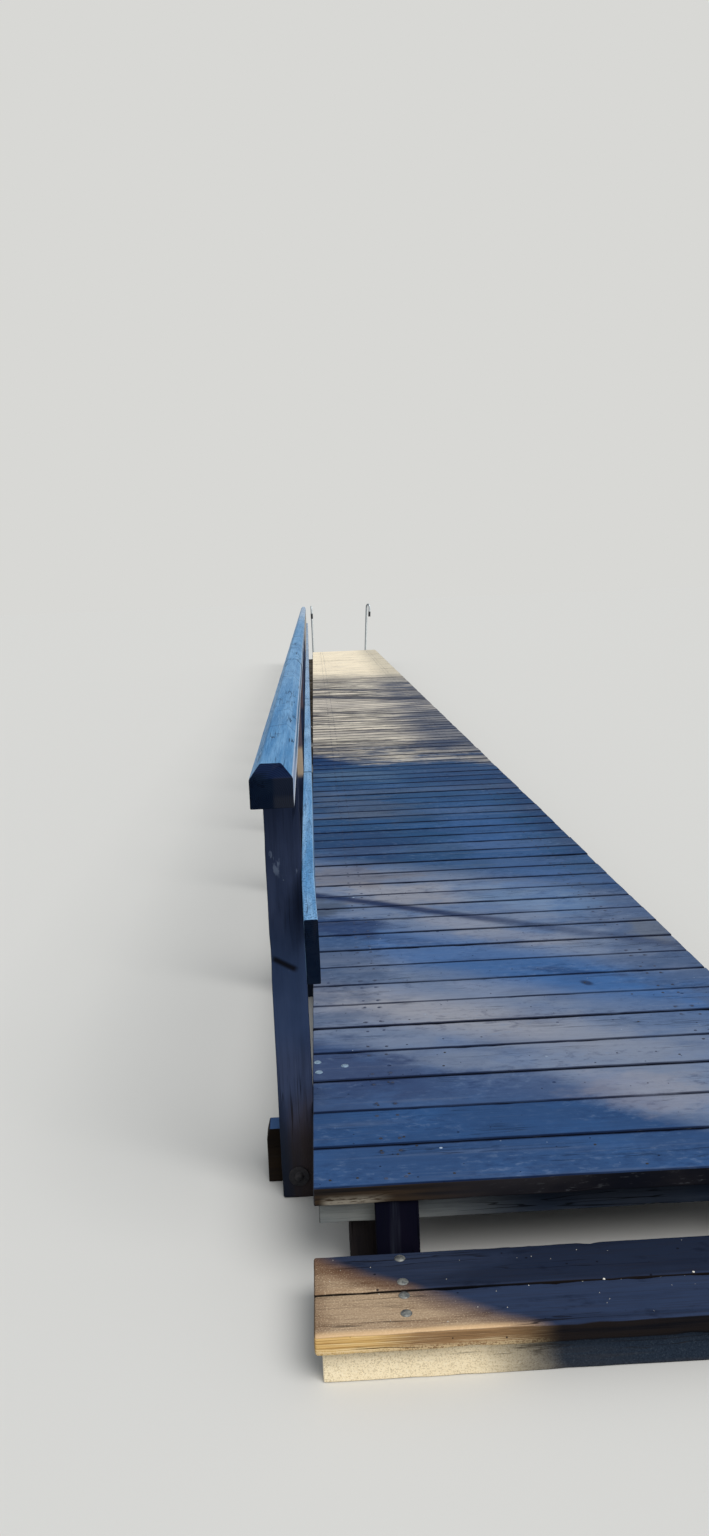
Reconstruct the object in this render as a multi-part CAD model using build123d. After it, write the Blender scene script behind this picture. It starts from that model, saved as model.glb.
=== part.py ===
"""A timber bathing jetty on low trestles, with one handrail and a ladder at its far end.

X runs across the jetty, Y from the shore out over the lake and Z up, all in millimetres.
The origin is the middle of the foot of the riser board under the step on the shore.
Z = 0 is the level of the landing and of the lake, where every pile and post stops.
"""
from build123d import *
from math import atan, cos, degrees, radians, sin
import os

# Deck boards: 195 x 45 planks laid across the jetty with an open joint between them
deck_width = 1400.0
plank_width = 195.0
plank_thickness = 45.0
plank_gap = 5.0
plank_arris = 4.0
deck_section_count = 8

# Height of the deck above the landing, made up of the timbers under it
stringer_height = 75.0
beam_height = 160.0

# Step on the shore side: two boards on a riser and two bearers
tread_width = 145.0
tread_thickness = 45.0
tread_gap = 5.0
tread_arris = 5.0
tread_overhang = 25.0
tread_past_deck = 5.0
step_height = 125.0
step_to_deck = 28.0
riser_thickness = 30.0
riser_inset = 10.0
bearer_thickness = 45.0

# Lines of timber under both edges of the deck: stringers, uprights and the step's bearers
line_from_edge = 196.0

# Front of the deck: a header board behind two uprights
header_set_back = 55.0
header_thickness = 45.0
header_inset = 10.0
upright_width = 103.0
upright_thickness = 45.0

# Trestles: a post for the handrail, a cross-beam behind it and two piles behind that
trestle_count = 15
trestle_spacing = 1600.0
first_post_from_edge = 520.0
last_post_to_end = 675.0
post_size = 95.0
beam_thickness = 75.0
beam_past_post = 42.0
beam_inset = 20.0
beam_bevel = 8.0
pile_size = 100.0
pile_from_edge = 131.0

# Stringers: three lines of timber, jointed over the cross-beams
stringer_width = 95.0
stringer_joint_every = 3
joint_gap = 3.0

# Handrail on the posts and mid-rail on their deck side, jointed over every second post.
# The line of posts runs slowly away from the deck: rail_drift is in millimetres per millimetre.
rail_drift = 0.005
rail_size = 95.0
rail_height = 1020.0
rail_chamfer_width = 25.0
rail_chamfer_height = 30.0
rail_past_deck = 95.0
mid_rail_thickness = 32.0
mid_rail_height = 150.0
mid_rail_top = 655.0
mid_rail_past_deck = 20.0
mid_rail_arris = 4.0
rail_joint_every = 2
first_rail_joint = 2
first_mid_rail_joint = 1
shortest_rail = 1500.0

# Far end: a fascia board that carries the ladder
fascia_height = 145.0
fascia_thickness = 45.0

# Ladder: two bent tubes, each in one bracket, with one tread above the water
tube_radius = 21.2
tube_wall = 2.6
tube_from_fascia = 45.0
tube_height = 1035.0
left_tube_from_edge = 15.0
right_tube_from_edge = 232.0
right_tube_lean = 80.0
crook_width = 140.0
crook_leg = 190.0
right_crook_turn = 25.0
cap_wall = 3.0
cap_length = 110.0
cap_floor = 6.0
fit_clearance = 0.2
bracket_width = 80.0
bracket_height = 100.0
bracket_plate = 8.0
bracket_web = 14.0
bracket_collar = 7.0
bracket_outside = 15.0
ladder_tread_depth = 120.0
ladder_tread_thickness = 30.0
ladder_tread_height = 45.0
ladder_tread_arris = 4.0

# Places that follow from the sizes above
plank_pitch = plank_width + plank_gap
deck_underside = beam_height + stringer_height
deck_top = deck_underside + plank_thickness
deck_left = -deck_width / 2
deck_right = deck_width / 2
step_front = -riser_thickness / 2 - tread_overhang
step_back = step_front + 2 * tread_width + tread_gap
deck_front = step_back + step_to_deck
wanted_length = first_post_from_edge + (trestle_count - 1) * trestle_spacing + last_post_to_end
plank_count = round(wanted_length / plank_pitch)
planks_per_section = -(-plank_count // deck_section_count)
deck_end = deck_front + plank_count * plank_pitch - plank_gap
header_front = deck_front + header_set_back
header_back = header_front + header_thickness
fascia_back = deck_end - fascia_thickness
rail_bottom = deck_top + rail_height - rail_size
tube_line = deck_end + tube_from_fascia


def board(x0, x1, y0, y1, z0, z1):
    """A sawn timber between two opposite corners."""
    size = (x1 - x0, y1 - y0, z1 - z0)
    return Pos(x0, y0, z0) * Box(*size, align=(Align.MIN, Align.MIN, Align.MIN))


def eased(timber, along, arris):
    """The same timber with its two upper long edges taken off by a plane."""
    edges = timber.edges().filter_by(along).group_by(Axis.Z)[-1]
    return chamfer(edges, arris)


def post_y(number):
    """Middle of one trestle's post along the jetty, counted from 0."""
    return deck_front + first_post_from_edge + number * trestle_spacing


def rail_line(y):
    """Middle of the posts and the handrail across the jetty, at a place along it."""
    return deck_left - post_size / 2 - rail_drift * (y - post_y(0))


def along_rail(shape):
    """Turn a rail that was made parallel to the deck into the line of the posts."""
    pivot = Pos(rail_line(post_y(0)), post_y(0), 0)
    return pivot * Rot(0, 0, degrees(atan(rail_drift))) * pivot.inverse() * shape


def beam_front(number):
    """The face of a cross-beam that lies against its post."""
    return post_y(number) + post_size / 2


def lengths(start, end, joints):
    """Stretches of timber between joints that are left open by a narrow gap."""
    cuts = [place for place in joints if start < place < end]
    starts = [start] + [cut + joint_gap / 2 for cut in cuts]
    ends = [cut - joint_gap / 2 for cut in cuts] + [end]
    return list(zip(starts, ends))


def save(name, *solids):
    """Write the solids of one sub-part to its own file."""
    shape = solids[0] if len(solids) == 1 else Compound(children=list(solids))
    shape.label = name
    export_step(shape, os.path.join("parts", name + ".step"))


def deck_sections():
    plank = board(deck_left, deck_right, 0, plank_width, deck_underside, deck_top)
    plank = eased(plank, Axis.X, plank_arris)
    for first in range(0, plank_count, planks_per_section):
        numbers = range(first, min(first + planks_per_section, plank_count))
        planks = [Pos(0, deck_front + number * plank_pitch, 0) * plank for number in numbers]
        save(f"deck_section_{first // planks_per_section + 1}", *planks)


def step():
    tread_end = deck_right + tread_past_deck
    tread = board(-tread_end, tread_end, 0, tread_width, step_height - tread_thickness, step_height)
    tread = eased(tread, Axis.X, tread_arris)
    save("step_front_tread", Pos(0, step_front, 0) * tread)
    save("step_rear_tread", Pos(0, step_back - tread_width, 0) * tread)
    tread_underside = step_height - tread_thickness
    riser_back = riser_thickness / 2
    riser_end = deck_right - riser_inset
    save("step_riser", board(-riser_end, riser_end, -riser_back, riser_back, 0, tread_underside))
    bearers = []
    for middle in (deck_left + line_from_edge, deck_right - line_from_edge):
        side = bearer_thickness / 2
        bearers.append(board(middle - side, middle + side,
                             riser_back, header_front - upright_thickness, 0, tread_underside))
    save("step_bearers", *bearers)


def front_frame():
    header_end = deck_right - header_inset
    save("header_board", board(-header_end, header_end, header_front, header_back,
                               beam_height, deck_underside))
    uprights = []
    for middle in (deck_left + line_from_edge, deck_right - line_from_edge):
        side = upright_width / 2
        uprights.append(board(middle - side, middle + side,
                              header_front - upright_thickness, header_front, 0, deck_underside))
    save("front_uprights", *uprights)


def stringers():
    joints = [beam_front(number) + beam_thickness / 2
              for number in range(stringer_joint_every - 1, trestle_count, stringer_joint_every)]
    lines = {"left": deck_left + line_from_edge, "middle": 0, "right": deck_right - line_from_edge}
    for side, middle in lines.items():
        x0 = middle - stringer_width / 2
        x1 = middle + stringer_width / 2
        timbers = [board(x0, x1, start, end, beam_height, deck_underside)
                   for start, end in lengths(header_back, fascia_back, joints)]
        save(f"stringer_{side}", *timbers)


def cross_beam(number):
    """One beam, flush behind its post and a little longer than the post stands out."""
    left_end = rail_line(post_y(number)) - post_size / 2 - beam_past_post
    front = beam_front(number)
    beam = board(left_end, deck_right - beam_inset, front, front + beam_thickness, 0, beam_height)
    top_corner = beam.edges().filter_by(Axis.Y).group_by(Axis.X)[0].sort_by(Axis.Z)[-1]
    return chamfer(top_corner, beam_bevel)


def cross_beams():
    save("cross_beams", *[cross_beam(number) for number in range(trestle_count)])


def piles():
    places = [header_back]
    places += [beam_front(number) + beam_thickness for number in range(trestle_count)]
    places += [fascia_back - pile_size]
    lines = {"left": deck_left + pile_from_edge, "right": deck_right - pile_from_edge}
    for side, middle in lines.items():
        x0 = middle - pile_size / 2
        x1 = middle + pile_size / 2
        save(f"piles_{side}", *[board(x0, x1, y, y + pile_size, 0, beam_height) for y in places])


def rail_post(number):
    half = post_size / 2
    x = rail_line(post_y(number))
    y = post_y(number)
    return board(x - half, x + half, y - half, y + half, 0, rail_bottom)


def rail_posts():
    groups = ("near", "middle", "far")
    posts_per_group = -(-trestle_count // len(groups))
    for group, name in enumerate(groups):
        first = group * posts_per_group
        numbers = range(first, min(first + posts_per_group, trestle_count))
        save(f"rail_posts_{name}", *[rail_post(number) for number in numbers])


def post_joints(first):
    """Places of the joints that lie over every second post, from the first one named."""
    return [post_y(number) for number in range(first, trestle_count, rail_joint_every)]


def handrail():
    middle = rail_line(post_y(0))
    half = rail_size / 2
    flat = half - rail_chamfer_width
    shoulder = rail_size - rail_chamfer_height
    profile = Polyline((-half, 0), (half, 0), (half, shoulder), (flat, rail_size),
                       (-flat, rail_size), (-half, shoulder), close=True)
    section = Pos(middle, 0, rail_bottom) * (Plane.XZ * make_face(profile))
    start = deck_front - rail_past_deck
    joints = [y for y in post_joints(first_rail_joint) if y < deck_end - shortest_rail]
    for number, (y0, y1) in enumerate(lengths(start, deck_end, joints), start=1):
        rail = Pos(0, y0, 0) * extrude(section, amount=y0 - y1)
        if y0 == start:
            rail = rail - end_bevel(middle, y0, 1)
        if y1 == deck_end:
            rail = rail - end_bevel(middle, y1, -1)
        save(f"handrail_{number}", along_rail(rail))


def end_bevel(x, y, inward):
    """The wedge that a saw takes off the upper edge of a free rail end."""
    top = rail_bottom + rail_size
    wedge = Polyline((y, top - rail_chamfer_height), (y, top), (y + inward * rail_chamfer_width, top),
                     close=True)
    face = Plane.YZ * make_face(wedge)
    return Pos(x, 0, 0) * extrude(face, amount=rail_size, both=True)


def mid_rail():
    top = deck_top + mid_rail_top
    bottom = top - mid_rail_height
    seat = deck_left + rail_drift * post_size / 2
    joints = post_joints(first_mid_rail_joint)
    stretches = lengths(deck_front - mid_rail_past_deck, deck_end, joints)
    for number, (y0, y1) in enumerate(stretches, start=1):
        rail = board(seat, seat + mid_rail_thickness, y0, y1, bottom, top)
        save(f"mid_rail_{number}", along_rail(eased(rail, Axis.Y, mid_rail_arris)))


class LadderTube:
    """One side of the ladder: a tube that bends over at the top like a walking stick."""

    def __init__(self, x, lean, turn, inward):
        rise = deck_top + tube_height - tube_radius - crook_width / 2
        self.inward = inward
        self.foot = Vector(x, tube_line, 0)
        self.upwards = Vector(lean, 0, rise).normalized()
        self.crook_start = self.foot + Vector(lean, 0, rise)
        level = Vector(sin(radians(turn)), -cos(radians(turn)), 0)
        across = (level - self.upwards * level.dot(self.upwards)).normalized()
        self.crook_end = self.crook_start + across * crook_width
        self.leg_end = self.crook_end - self.upwards * crook_leg

    def rod(self, radius, start, length):
        """A round bar on the tube's own line, from a height above its foot."""
        foot = self.foot + self.upwards * start
        bar = Cylinder(radius, length, align=(Align.CENTER, Align.CENTER, Align.MIN))
        return Plane(origin=foot, z_dir=self.upwards) * bar

    def tube(self):
        crook_top = (self.crook_start + self.crook_end) * 0.5 + self.upwards * (crook_width / 2)
        path = Wire([Edge.make_line(self.foot, self.crook_start),
                     Edge.make_three_point_arc(self.crook_start, crook_top, self.crook_end),
                     Edge.make_line(self.crook_end, self.leg_end)])
        ring = Circle(tube_radius) - Circle(tube_radius - tube_wall)
        tube = sweep(Plane(origin=self.foot, z_dir=self.upwards) * ring, path=path)
        below_water = Pos(self.foot.X, self.foot.Y, 0) * Box(
            4 * tube_radius, 4 * tube_radius, 2 * tube_radius, align=(Align.CENTER, Align.CENTER, Align.MAX))
        return tube - below_water

    def end_cap(self):
        """The grip on the short leg of the crook: a sleeve with a closed end."""
        base = (Align.CENTER, Align.CENTER, Align.MIN)
        outer = Cylinder(tube_radius + cap_wall, cap_length, align=base)
        inner = Cylinder(tube_radius + fit_clearance, cap_length, align=base)
        sleeve = outer - Pos(0, 0, cap_floor) * inner
        closed_end = self.leg_end - self.upwards * cap_floor
        return Plane(origin=closed_end, z_dir=self.upwards) * sleeve

    def bracket(self):
        """A plate on the fascia, a web and a collar that the tube passes through."""
        low = deck_underside - fascia_height / 2 - bracket_height / 2
        high = low + bracket_height
        middle = self.foot.X + self.upwards.X / self.upwards.Z * (low + high) / 2
        outer = middle - self.inward * bracket_outside
        inner = outer + self.inward * bracket_width
        plate = board(min(outer, inner), max(outer, inner), deck_end, deck_end + bracket_plate, low, high)
        web = board(middle - bracket_web / 2, middle + bracket_web / 2, deck_end, tube_line, low, high)
        collar = self.rod(tube_radius + fit_clearance + bracket_collar, low, bracket_height)
        return plate + web + collar - self.rod(tube_radius + fit_clearance, 0, deck_top)


def ladder():
    left = LadderTube(deck_left + left_tube_from_edge, 0, 0, 1)
    right = LadderTube(deck_right - right_tube_from_edge, right_tube_lean, right_crook_turn, -1)
    save("ladder_left_tube", left.tube())
    save("ladder_right_tube", right.tube())
    save("ladder_end_caps", left.end_cap(), right.end_cap())
    save("ladder_brackets", left.bracket(), right.bracket())
    half = ladder_tread_depth / 2
    tread = board(left.foot.X, right.foot.X, tube_line - half, tube_line + half,
                  ladder_tread_height - ladder_tread_thickness, ladder_tread_height)
    tread = eased(tread, Axis.X, ladder_tread_arris)
    for side in (left, right):
        tread = tread - side.rod(tube_radius + fit_clearance, -tube_radius, deck_top)
    save("ladder_tread", tread)


def far_end():
    save("end_fascia", board(deck_left, deck_right, fascia_back, deck_end,
                             deck_underside - fascia_height, deck_underside))


os.makedirs("parts", exist_ok=True)
deck_sections()
step()
front_frame()
stringers()
cross_beams()
piles()
rail_posts()
handrail()
mid_rail()
far_end()
ladder()
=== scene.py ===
# %% [markdown]
# # A timber bathing jetty in Blender
#
# The jetty is a long deck of weathered planks on low trestles. It has a step on the shore, one
# handrail on its left side and a bathing ladder at its far end. A imported CAD model gives every
# timber its place and size. This notebook gives the timbers the surface that years of sun, rain and
# wet feet have left on them: soft arrises, cupped boards, open grain, nail heads and stains. Patches
# of sunlight and shade are painted into their colours as well.
#
# Each cell is one step. A text cell says what the thing is on the real jetty and how it is made.

import math
import random
from functools import partialmethod
from itertools import count

import bmesh
import bpy
import numpy as np
from mathutils import Matrix, Vector
from mathutils.noise import noise_vector, seed_set


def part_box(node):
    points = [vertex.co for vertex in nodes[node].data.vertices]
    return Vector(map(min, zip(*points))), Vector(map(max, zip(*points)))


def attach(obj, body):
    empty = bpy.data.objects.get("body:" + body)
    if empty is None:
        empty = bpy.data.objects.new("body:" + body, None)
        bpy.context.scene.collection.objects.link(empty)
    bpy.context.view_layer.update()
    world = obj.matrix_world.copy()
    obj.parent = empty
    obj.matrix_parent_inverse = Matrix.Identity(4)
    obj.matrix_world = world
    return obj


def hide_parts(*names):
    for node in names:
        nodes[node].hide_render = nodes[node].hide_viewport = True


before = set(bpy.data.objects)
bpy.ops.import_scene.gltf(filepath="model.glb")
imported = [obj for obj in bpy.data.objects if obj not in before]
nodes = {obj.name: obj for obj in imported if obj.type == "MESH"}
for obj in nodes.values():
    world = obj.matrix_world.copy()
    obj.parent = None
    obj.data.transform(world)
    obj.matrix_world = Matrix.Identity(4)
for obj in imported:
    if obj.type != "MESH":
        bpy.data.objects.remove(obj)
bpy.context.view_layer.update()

# %% [markdown]
# ## The sizes that the frame gives
#
# Nothing is measured twice. The top of the deck, the step and the line of posts are all read from
# the boxes of the CAD nodes, so that a change in the CAD model carries over by itself.

# %% Sizes read from the frame
deck_low, deck_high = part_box("deck_section_1")
step_low, step_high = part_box("step_front_tread")
end_low, end_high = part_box("end_fascia")
DECK_TOP = deck_high.z
DECK_END = end_high.y
STEP_TOP = step_high.z
HEADER_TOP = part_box("header_board")[1].z
print("deck top", round(DECK_TOP, 3), "far end", round(DECK_END, 3))

# %% [markdown]
# ## The camera
#
# The photograph was taken by a person standing a little to the left of the middle, just before the
# step, with the telephone tipped down and slightly tilted. Working back from the corners of the
# boards gave the place and the three angles below. In Blender a camera looks along its own -Z, so
# the three columns of its matrix are: to the right, up, and backwards.

# %% Camera
CAMERA_PLACE = Vector((-0.6368, -2.2501, 1.6636))
PITCH_DOWN = math.radians(8.808)
YAW_RIGHT = math.radians(1.679)
ROLL = math.radians(-2.338)
SENSOR_MM = 36.0
FOCAL_PIXELS = 1160.0
PHOTO_HEIGHT = 1536.0


def placed(name, data):
    """A new object with this mesh, camera or lamp, in the scene."""
    made = bpy.data.objects.new(name, data)
    bpy.context.scene.collection.objects.link(made)
    return made


def make_camera():
    forward = Vector((math.sin(YAW_RIGHT) * math.cos(PITCH_DOWN),
                      math.cos(YAW_RIGHT) * math.cos(PITCH_DOWN),
                      -math.sin(PITCH_DOWN)))
    level_right = forward.cross(Vector((0, 0, 1))).normalized()
    level_up = level_right.cross(forward)
    right = level_right * math.cos(ROLL) + level_up * math.sin(ROLL)
    up = level_up * math.cos(ROLL) - level_right * math.sin(ROLL)
    camera = placed("camera", bpy.data.cameras.new("camera"))
    turn = Matrix((right, up, -forward)).transposed().to_4x4()
    camera.matrix_world = Matrix.Translation(CAMERA_PLACE) @ turn
    camera.data.sensor_width = SENSOR_MM
    camera.data.lens = FOCAL_PIXELS / PHOTO_HEIGHT * SENSOR_MM
    camera.data.clip_start = 0.05
    camera.data.clip_end = 500.0
    bpy.context.scene.camera = camera
    return camera


camera = make_camera()
print("lens", round(camera.data.lens, 2), "mm")

# %% [markdown]
# ## Colours
#
# Colours are noted down as they look on a screen, from 0 to 255, because that is how anyone reads
# them off a picture. Blender calculates in linear light, so one function converts them.

# %% Colours
def colour(red, green, blue):
    def linear(level):
        part = level / 255
        return part / 12.92 if part <= 0.04045 else ((part + 0.055) / 1.055) ** 2.4

    return (linear(red), linear(green), linear(blue), 1.0)


print("a weathered plank is about", [round(part, 3) for part in colour(118, 126, 140)])

# %% [markdown]
# ## Writing node trees as formulas
#
# Materials and Geometry Nodes are both node trees. Built by hand in code they soon become hard to
# read, so two small helpers are made first. `Value` wraps a socket, so that `1 - mask * 0.5` adds the
# nodes by itself: Math nodes for a number, Vector Math nodes for a vector. `Net` adds any other node
# and fills its sockets in one call.

# %% A socket that can stand in a formula
class Value:
    """A number or a vector in a node tree that can stand in a formula."""

    def __init__(self, net, socket):
        self.net = net
        self.socket = socket

    def math(self, operation, *others, turned_round=False):
        kind = "ShaderNodeMath" if self.socket.type == "VALUE" else "ShaderNodeVectorMath"
        terms = (*others, self) if turned_round else (self, *others)
        return self.net.add(kind, dict(enumerate(terms)), operation=operation)

    __add__ = __radd__ = partialmethod(math, "ADD")
    __mul__ = __rmul__ = partialmethod(math, "MULTIPLY")
    __sub__ = partialmethod(math, "SUBTRACT")
    __rsub__ = partialmethod(math, "SUBTRACT", turned_round=True)
    __truediv__ = partialmethod(math, "DIVIDE")
    least = partialmethod(math, "MINIMUM")
    most = partialmethod(math, "MAXIMUM")
    size = partialmethod(math, "ABSOLUTE")
    sign = partialmethod(math, "SIGN")
    sine = partialmethod(math, "SINE")
    power = partialmethod(math, "POWER")
    dot = partialmethod(math, "DOT_PRODUCT")
    direction = partialmethod(math, "NORMALIZE")

    def rise(self, low, high):
        """0 below low, 1 above high, smooth between. With low over high it falls instead."""
        if low > high:
            return 1 - self.rise(high, low)
        return self.net.add("ShaderNodeMapRange", {"Value": self, "From Min": low, "From Max": high},
                            interpolation_type="SMOOTHSTEP")


print("formulas can be written")


# %% A node tree written from Python
class Net:
    """A node tree that is written from Python."""

    def __init__(self, tree):
        self.tree = tree

    def fill(self, socket, value):
        """Link a socket or set it. A single number fills all three parts of a vector."""
        if isinstance(value, Value):
            value = value.socket
        if isinstance(value, bpy.types.NodeSocket):
            self.tree.links.new(value, socket)
        else:
            socket.default_value = (value,) * 3 if socket.type == "VECTOR" and np.isscalar(value) else value

    def node(self, kind, sockets=None, stops=(), **settings):
        """Add a node: its settings and the stops of its ramp first, then its sockets, by name or place."""
        made = self.tree.nodes.new(kind)
        for name, value in settings.items():
            setattr(made, name, value)
        for number, (place, shade) in enumerate(stops):
            elements = made.color_ramp.elements
            element = elements[number] if number < 2 else elements.new(place)
            element.position = place
            element.color = colour(*shade)
        free = [socket for socket in made.inputs if not socket.is_unavailable]
        for key, value in (sockets or {}).items():
            named = [socket for socket in free if socket.name == key]
            self.fill(free[key] if isinstance(key, int) else named[0], value)
        return made

    def add(self, kind, sockets=None, output=0, stops=(), **settings):
        """Add a node and give one of its outputs."""
        made = self.node(kind, sockets, stops, **settings)
        free = [socket for socket in made.outputs if not socket.is_unavailable]
        named = [socket for socket in free if socket.name == output]
        return Value(self, free[output] if isinstance(output, int) else named[0])

    def joined(self, x, y, z):
        return self.add("ShaderNodeCombineXYZ", {0: x, 1: y, 2: z})

    def split(self, vector):
        made = self.node("ShaderNodeSeparateXYZ", {0: vector})
        return [Value(self, socket) for socket in made.outputs]

    def noise(self, where, scale=1.0, detail=2.0, roughness=0.5, output=0):
        return self.add("ShaderNodeTexNoise", {"Vector": where, "Scale": scale, "Detail": detail,
                                               "Roughness": roughness}, output=output)

    def mix(self, factor, first, second):
        """A colour between two others, which may be values or a screen colour's three numbers."""
        ends = [colour(*end) if isinstance(end, tuple) else end for end in (first, second)]
        return self.add("ShaderNodeMix", {0: factor, "A": ends[0], "B": ends[1]}, data_type="RGBA")


def new_material(name):
    """An empty material, and the net that its finish is written in."""
    material = bpy.data.materials.new(name)
    material.use_nodes = True
    material.node_tree.nodes.clear()
    return material, Net(material.node_tree)


print("helpers ready")

# %% [markdown]
# ## What every timber carries
#
# Old timber looks alike everywhere because the same few things happen to it. Grain runs along it,
# fine checks open between the fibres, knots stay hard while the wood round them wears, arrises dry
# out pale, dirt settles at the edges and the end grain goes dark. So all the wood materials share one
# set of layers. They read four attributes that the meshes are given when they are made:
#
# - `grain`: metres along, across and through the timber, from its own middle
# - `tone`: a number from 0 to 1 that is different for each timber
# - `rim`: the distance to the nearest long arris
# - `tip`: the distance to the nearest end
#
# The pattern then follows each board however it lies, and starts afresh on the next one. A finish is
# built up as a painter would: a ground colour, and over it one thin coat after another, each with a
# mask that says where it shows.

# %% Layers of weathered wood
OLD_WOOD_GLOSS = 0.02


class Wood:
    """The layers that a wood finish is mixed from, each from 0 to 1, and the colour so far."""

    def __init__(self, name, knots=1.0):
        self.material, self.net = new_material(name)
        net = self.net
        grain, tone, rim, tip = [net.node("ShaderNodeAttribute", attribute_name=key).outputs
                                 for key in ("grain", "tone", "rim", "tip")]
        self.along, self.across, through = net.split(grain["Vector"])
        self.tone, self.rim, self.tip = [Value(net, read["Fac"]) for read in (tone, rim, tip)]
        self.place = net.add("ShaderNodeTexCoord", output="Object")
        self.x, self.y, self.z = net.split(self.place)
        self.up = net.split(net.add("ShaderNodeTexCoord", output="Normal"))[2]
        self.base = None
        apart = self.tone * 40
        self.knot = self.knot_layer(self.along + apart, self.across + apart * 3, through, knots)
        bent = self.across + self.knot * 0.010

        def fibres(lengthwise, crosswise, detail, roughness, across=bent):
            """Noise stretched along the grain, with so many marks to the metre each way."""
            where = net.joined(self.along * lengthwise + apart, across * crosswise, through * crosswise)
            return net.noise(where, 1.0, detail, roughness)

        self.streak = fibres(1.3, 30, 5, 0.6)
        self.fibre = fibres(9, 330, 3, 0.6)
        self.cloud = fibres(2.1, 5, 4, 0.55, self.across)
        self.check = self.check_layer(self.along + apart * 2, bent, through)
        self.patch = net.noise(self.place, 0.9, 3, 0.5)
        self.pit = self.spots(34.0, 0.0028, 0.55)
        self.fleck = self.spots(19.0, 0.0022, 0.62)
        self.end = self.tip.rise(0.0035, 0.0008)
        pith = ((self.across + 0.016).power(2.0) + (through + 0.022).power(2.0)).power(0.5)
        self.ring = (pith * 1500 + self.cloud * 5).sine() * 0.5 + 0.5

    def knot_layer(self, along, across, through, amount):
        """Knots: few and oval. 1 in the middle of a knot, fading out over the wood that bends round it."""
        net = self.net
        where = net.joined(along * 1.9, across * 6.5, through * 6.5)
        near = net.add("ShaderNodeTexVoronoi", {"Vector": where, "Scale": 1.0, "Randomness": 1.0}, output="Distance")
        kept = net.noise(net.joined(along * 0.9, across * 2, through), 1.0, 0).rise(0.52, 0.60)
        return near.rise(0.30, 0.02) * kept * amount

    def check_layer(self, along, across, through):
        """Drying checks: thin dark lines that open along the grain and close again."""
        net = self.net
        wander = net.noise(net.joined(along * 2.2, across * 55, through * 55))
        length = net.noise(net.joined(along * 3.2, across * 14, through * 14), 1.0, 1)
        return (wander - 0.5).size().rise(0.020, 0.004) * length.rise(0.56, 0.66)

    def spots(self, cells, radius, rare):
        """Small round spots, one in some of the cells of a scattered pattern with `cells` to the metre."""
        net = self.net
        cell = net.node("ShaderNodeTexVoronoi", {"Vector": self.place, "Scale": cells})
        luck = net.split(cell.outputs["Color"])
        reach = luck[1] * radius * cells + radius * cells * 0.4
        inside = (reach - Value(net, cell.outputs["Distance"])).rise(0.0, radius * cells * 0.3)
        return inside * luck[0].rise(rare - 0.01, rare + 0.01)

    def blotches(self, x, y, z, detail, roughness):
        """Noise that runs on from one timber to the next, with so many blotches to the metre each way."""
        return self.net.noise(self.place * (x, y, z), 1.0, detail, roughness)

    def coat(self, mask, shade):
        """Lay a colour over the finish where the mask is 1."""
        self.base = self.net.mix(mask, self.base, shade)

    def coats(self, *rows):
        """Lay plain coats: the layer, where it begins, where it is full, its strength and its colour."""
        for layer, low, high, strength, shade in rows:
            self.coat(layer.rise(low, high) * strength, shade)

    def finish(self, roughness, height, depth=0.0012):
        """Close the material: the colour so far, its roughness and the relief of the surface."""
        net = self.net
        bump = net.add("ShaderNodeBump", {"Height": height, "Strength": 1.0, "Distance": depth})
        surface = net.add("ShaderNodeBsdfPrincipled", {"Base Color": self.base, "Roughness": roughness,
                                                       "Specular IOR Level": OLD_WOOD_GLOSS, "Normal": bump})
        net.node("ShaderNodeOutputMaterial", {"Surface": surface})
        return self.material


print("wood layers ready")

# %% [markdown]
# ## The deck boards' ground colour
#
# The planks were brown once. Near the shore they are slate blue in painted shade, with taupe patches
# of painted sunlight. From the fifth trestle on they turn a warm grey dappled with painted sun and
# shade, and far out over the water a pale sand in painted sunlight. A colour ramp along the jetty gives
# this ground. Its borders run aslant, as the painted shadows do, and a slow noise makes them wander
# more the further out they lie.

# %% Ground colour of the deck
# Ramp colours: wood in painted shade (slate, deep), in painted sunlight (taupe, sand) and in a dapple of both (grey)
DECK_SHADE_SLATE = (47, 76, 119)
DECK_SUNLIT_TAUPE = (108, 124, 152)
DECK_DEEP_SHADE = (42, 77, 117)
DECK_DAPPLED_GREY = (186, 180, 168)
DECK_SUNLIT_SAND = (255, 242, 216)
DECK_ZONES = [(0.695, DECK_SHADE_SLATE), (0.755, DECK_SUNLIT_TAUPE), (3.05, DECK_SUNLIT_TAUPE), (3.35, DECK_DEEP_SHADE), (6.95, DECK_DEEP_SHADE),
              (7.90, DECK_DAPPLED_GREY), (15.20, DECK_DAPPLED_GREY), (17.00, DECK_SUNLIT_SAND)]
# How far the borders of the painted shade slant across the deck, near the shore and far out
ZONE_LEAN = 0.68
FAR_LEAN = 0.25
# The blue of painted shade, and the grey of painted sunlight
SHADE_BLUE = (54, 98, 154)
SUN_PATCH_GREY = (150, 152, 162)


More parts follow.
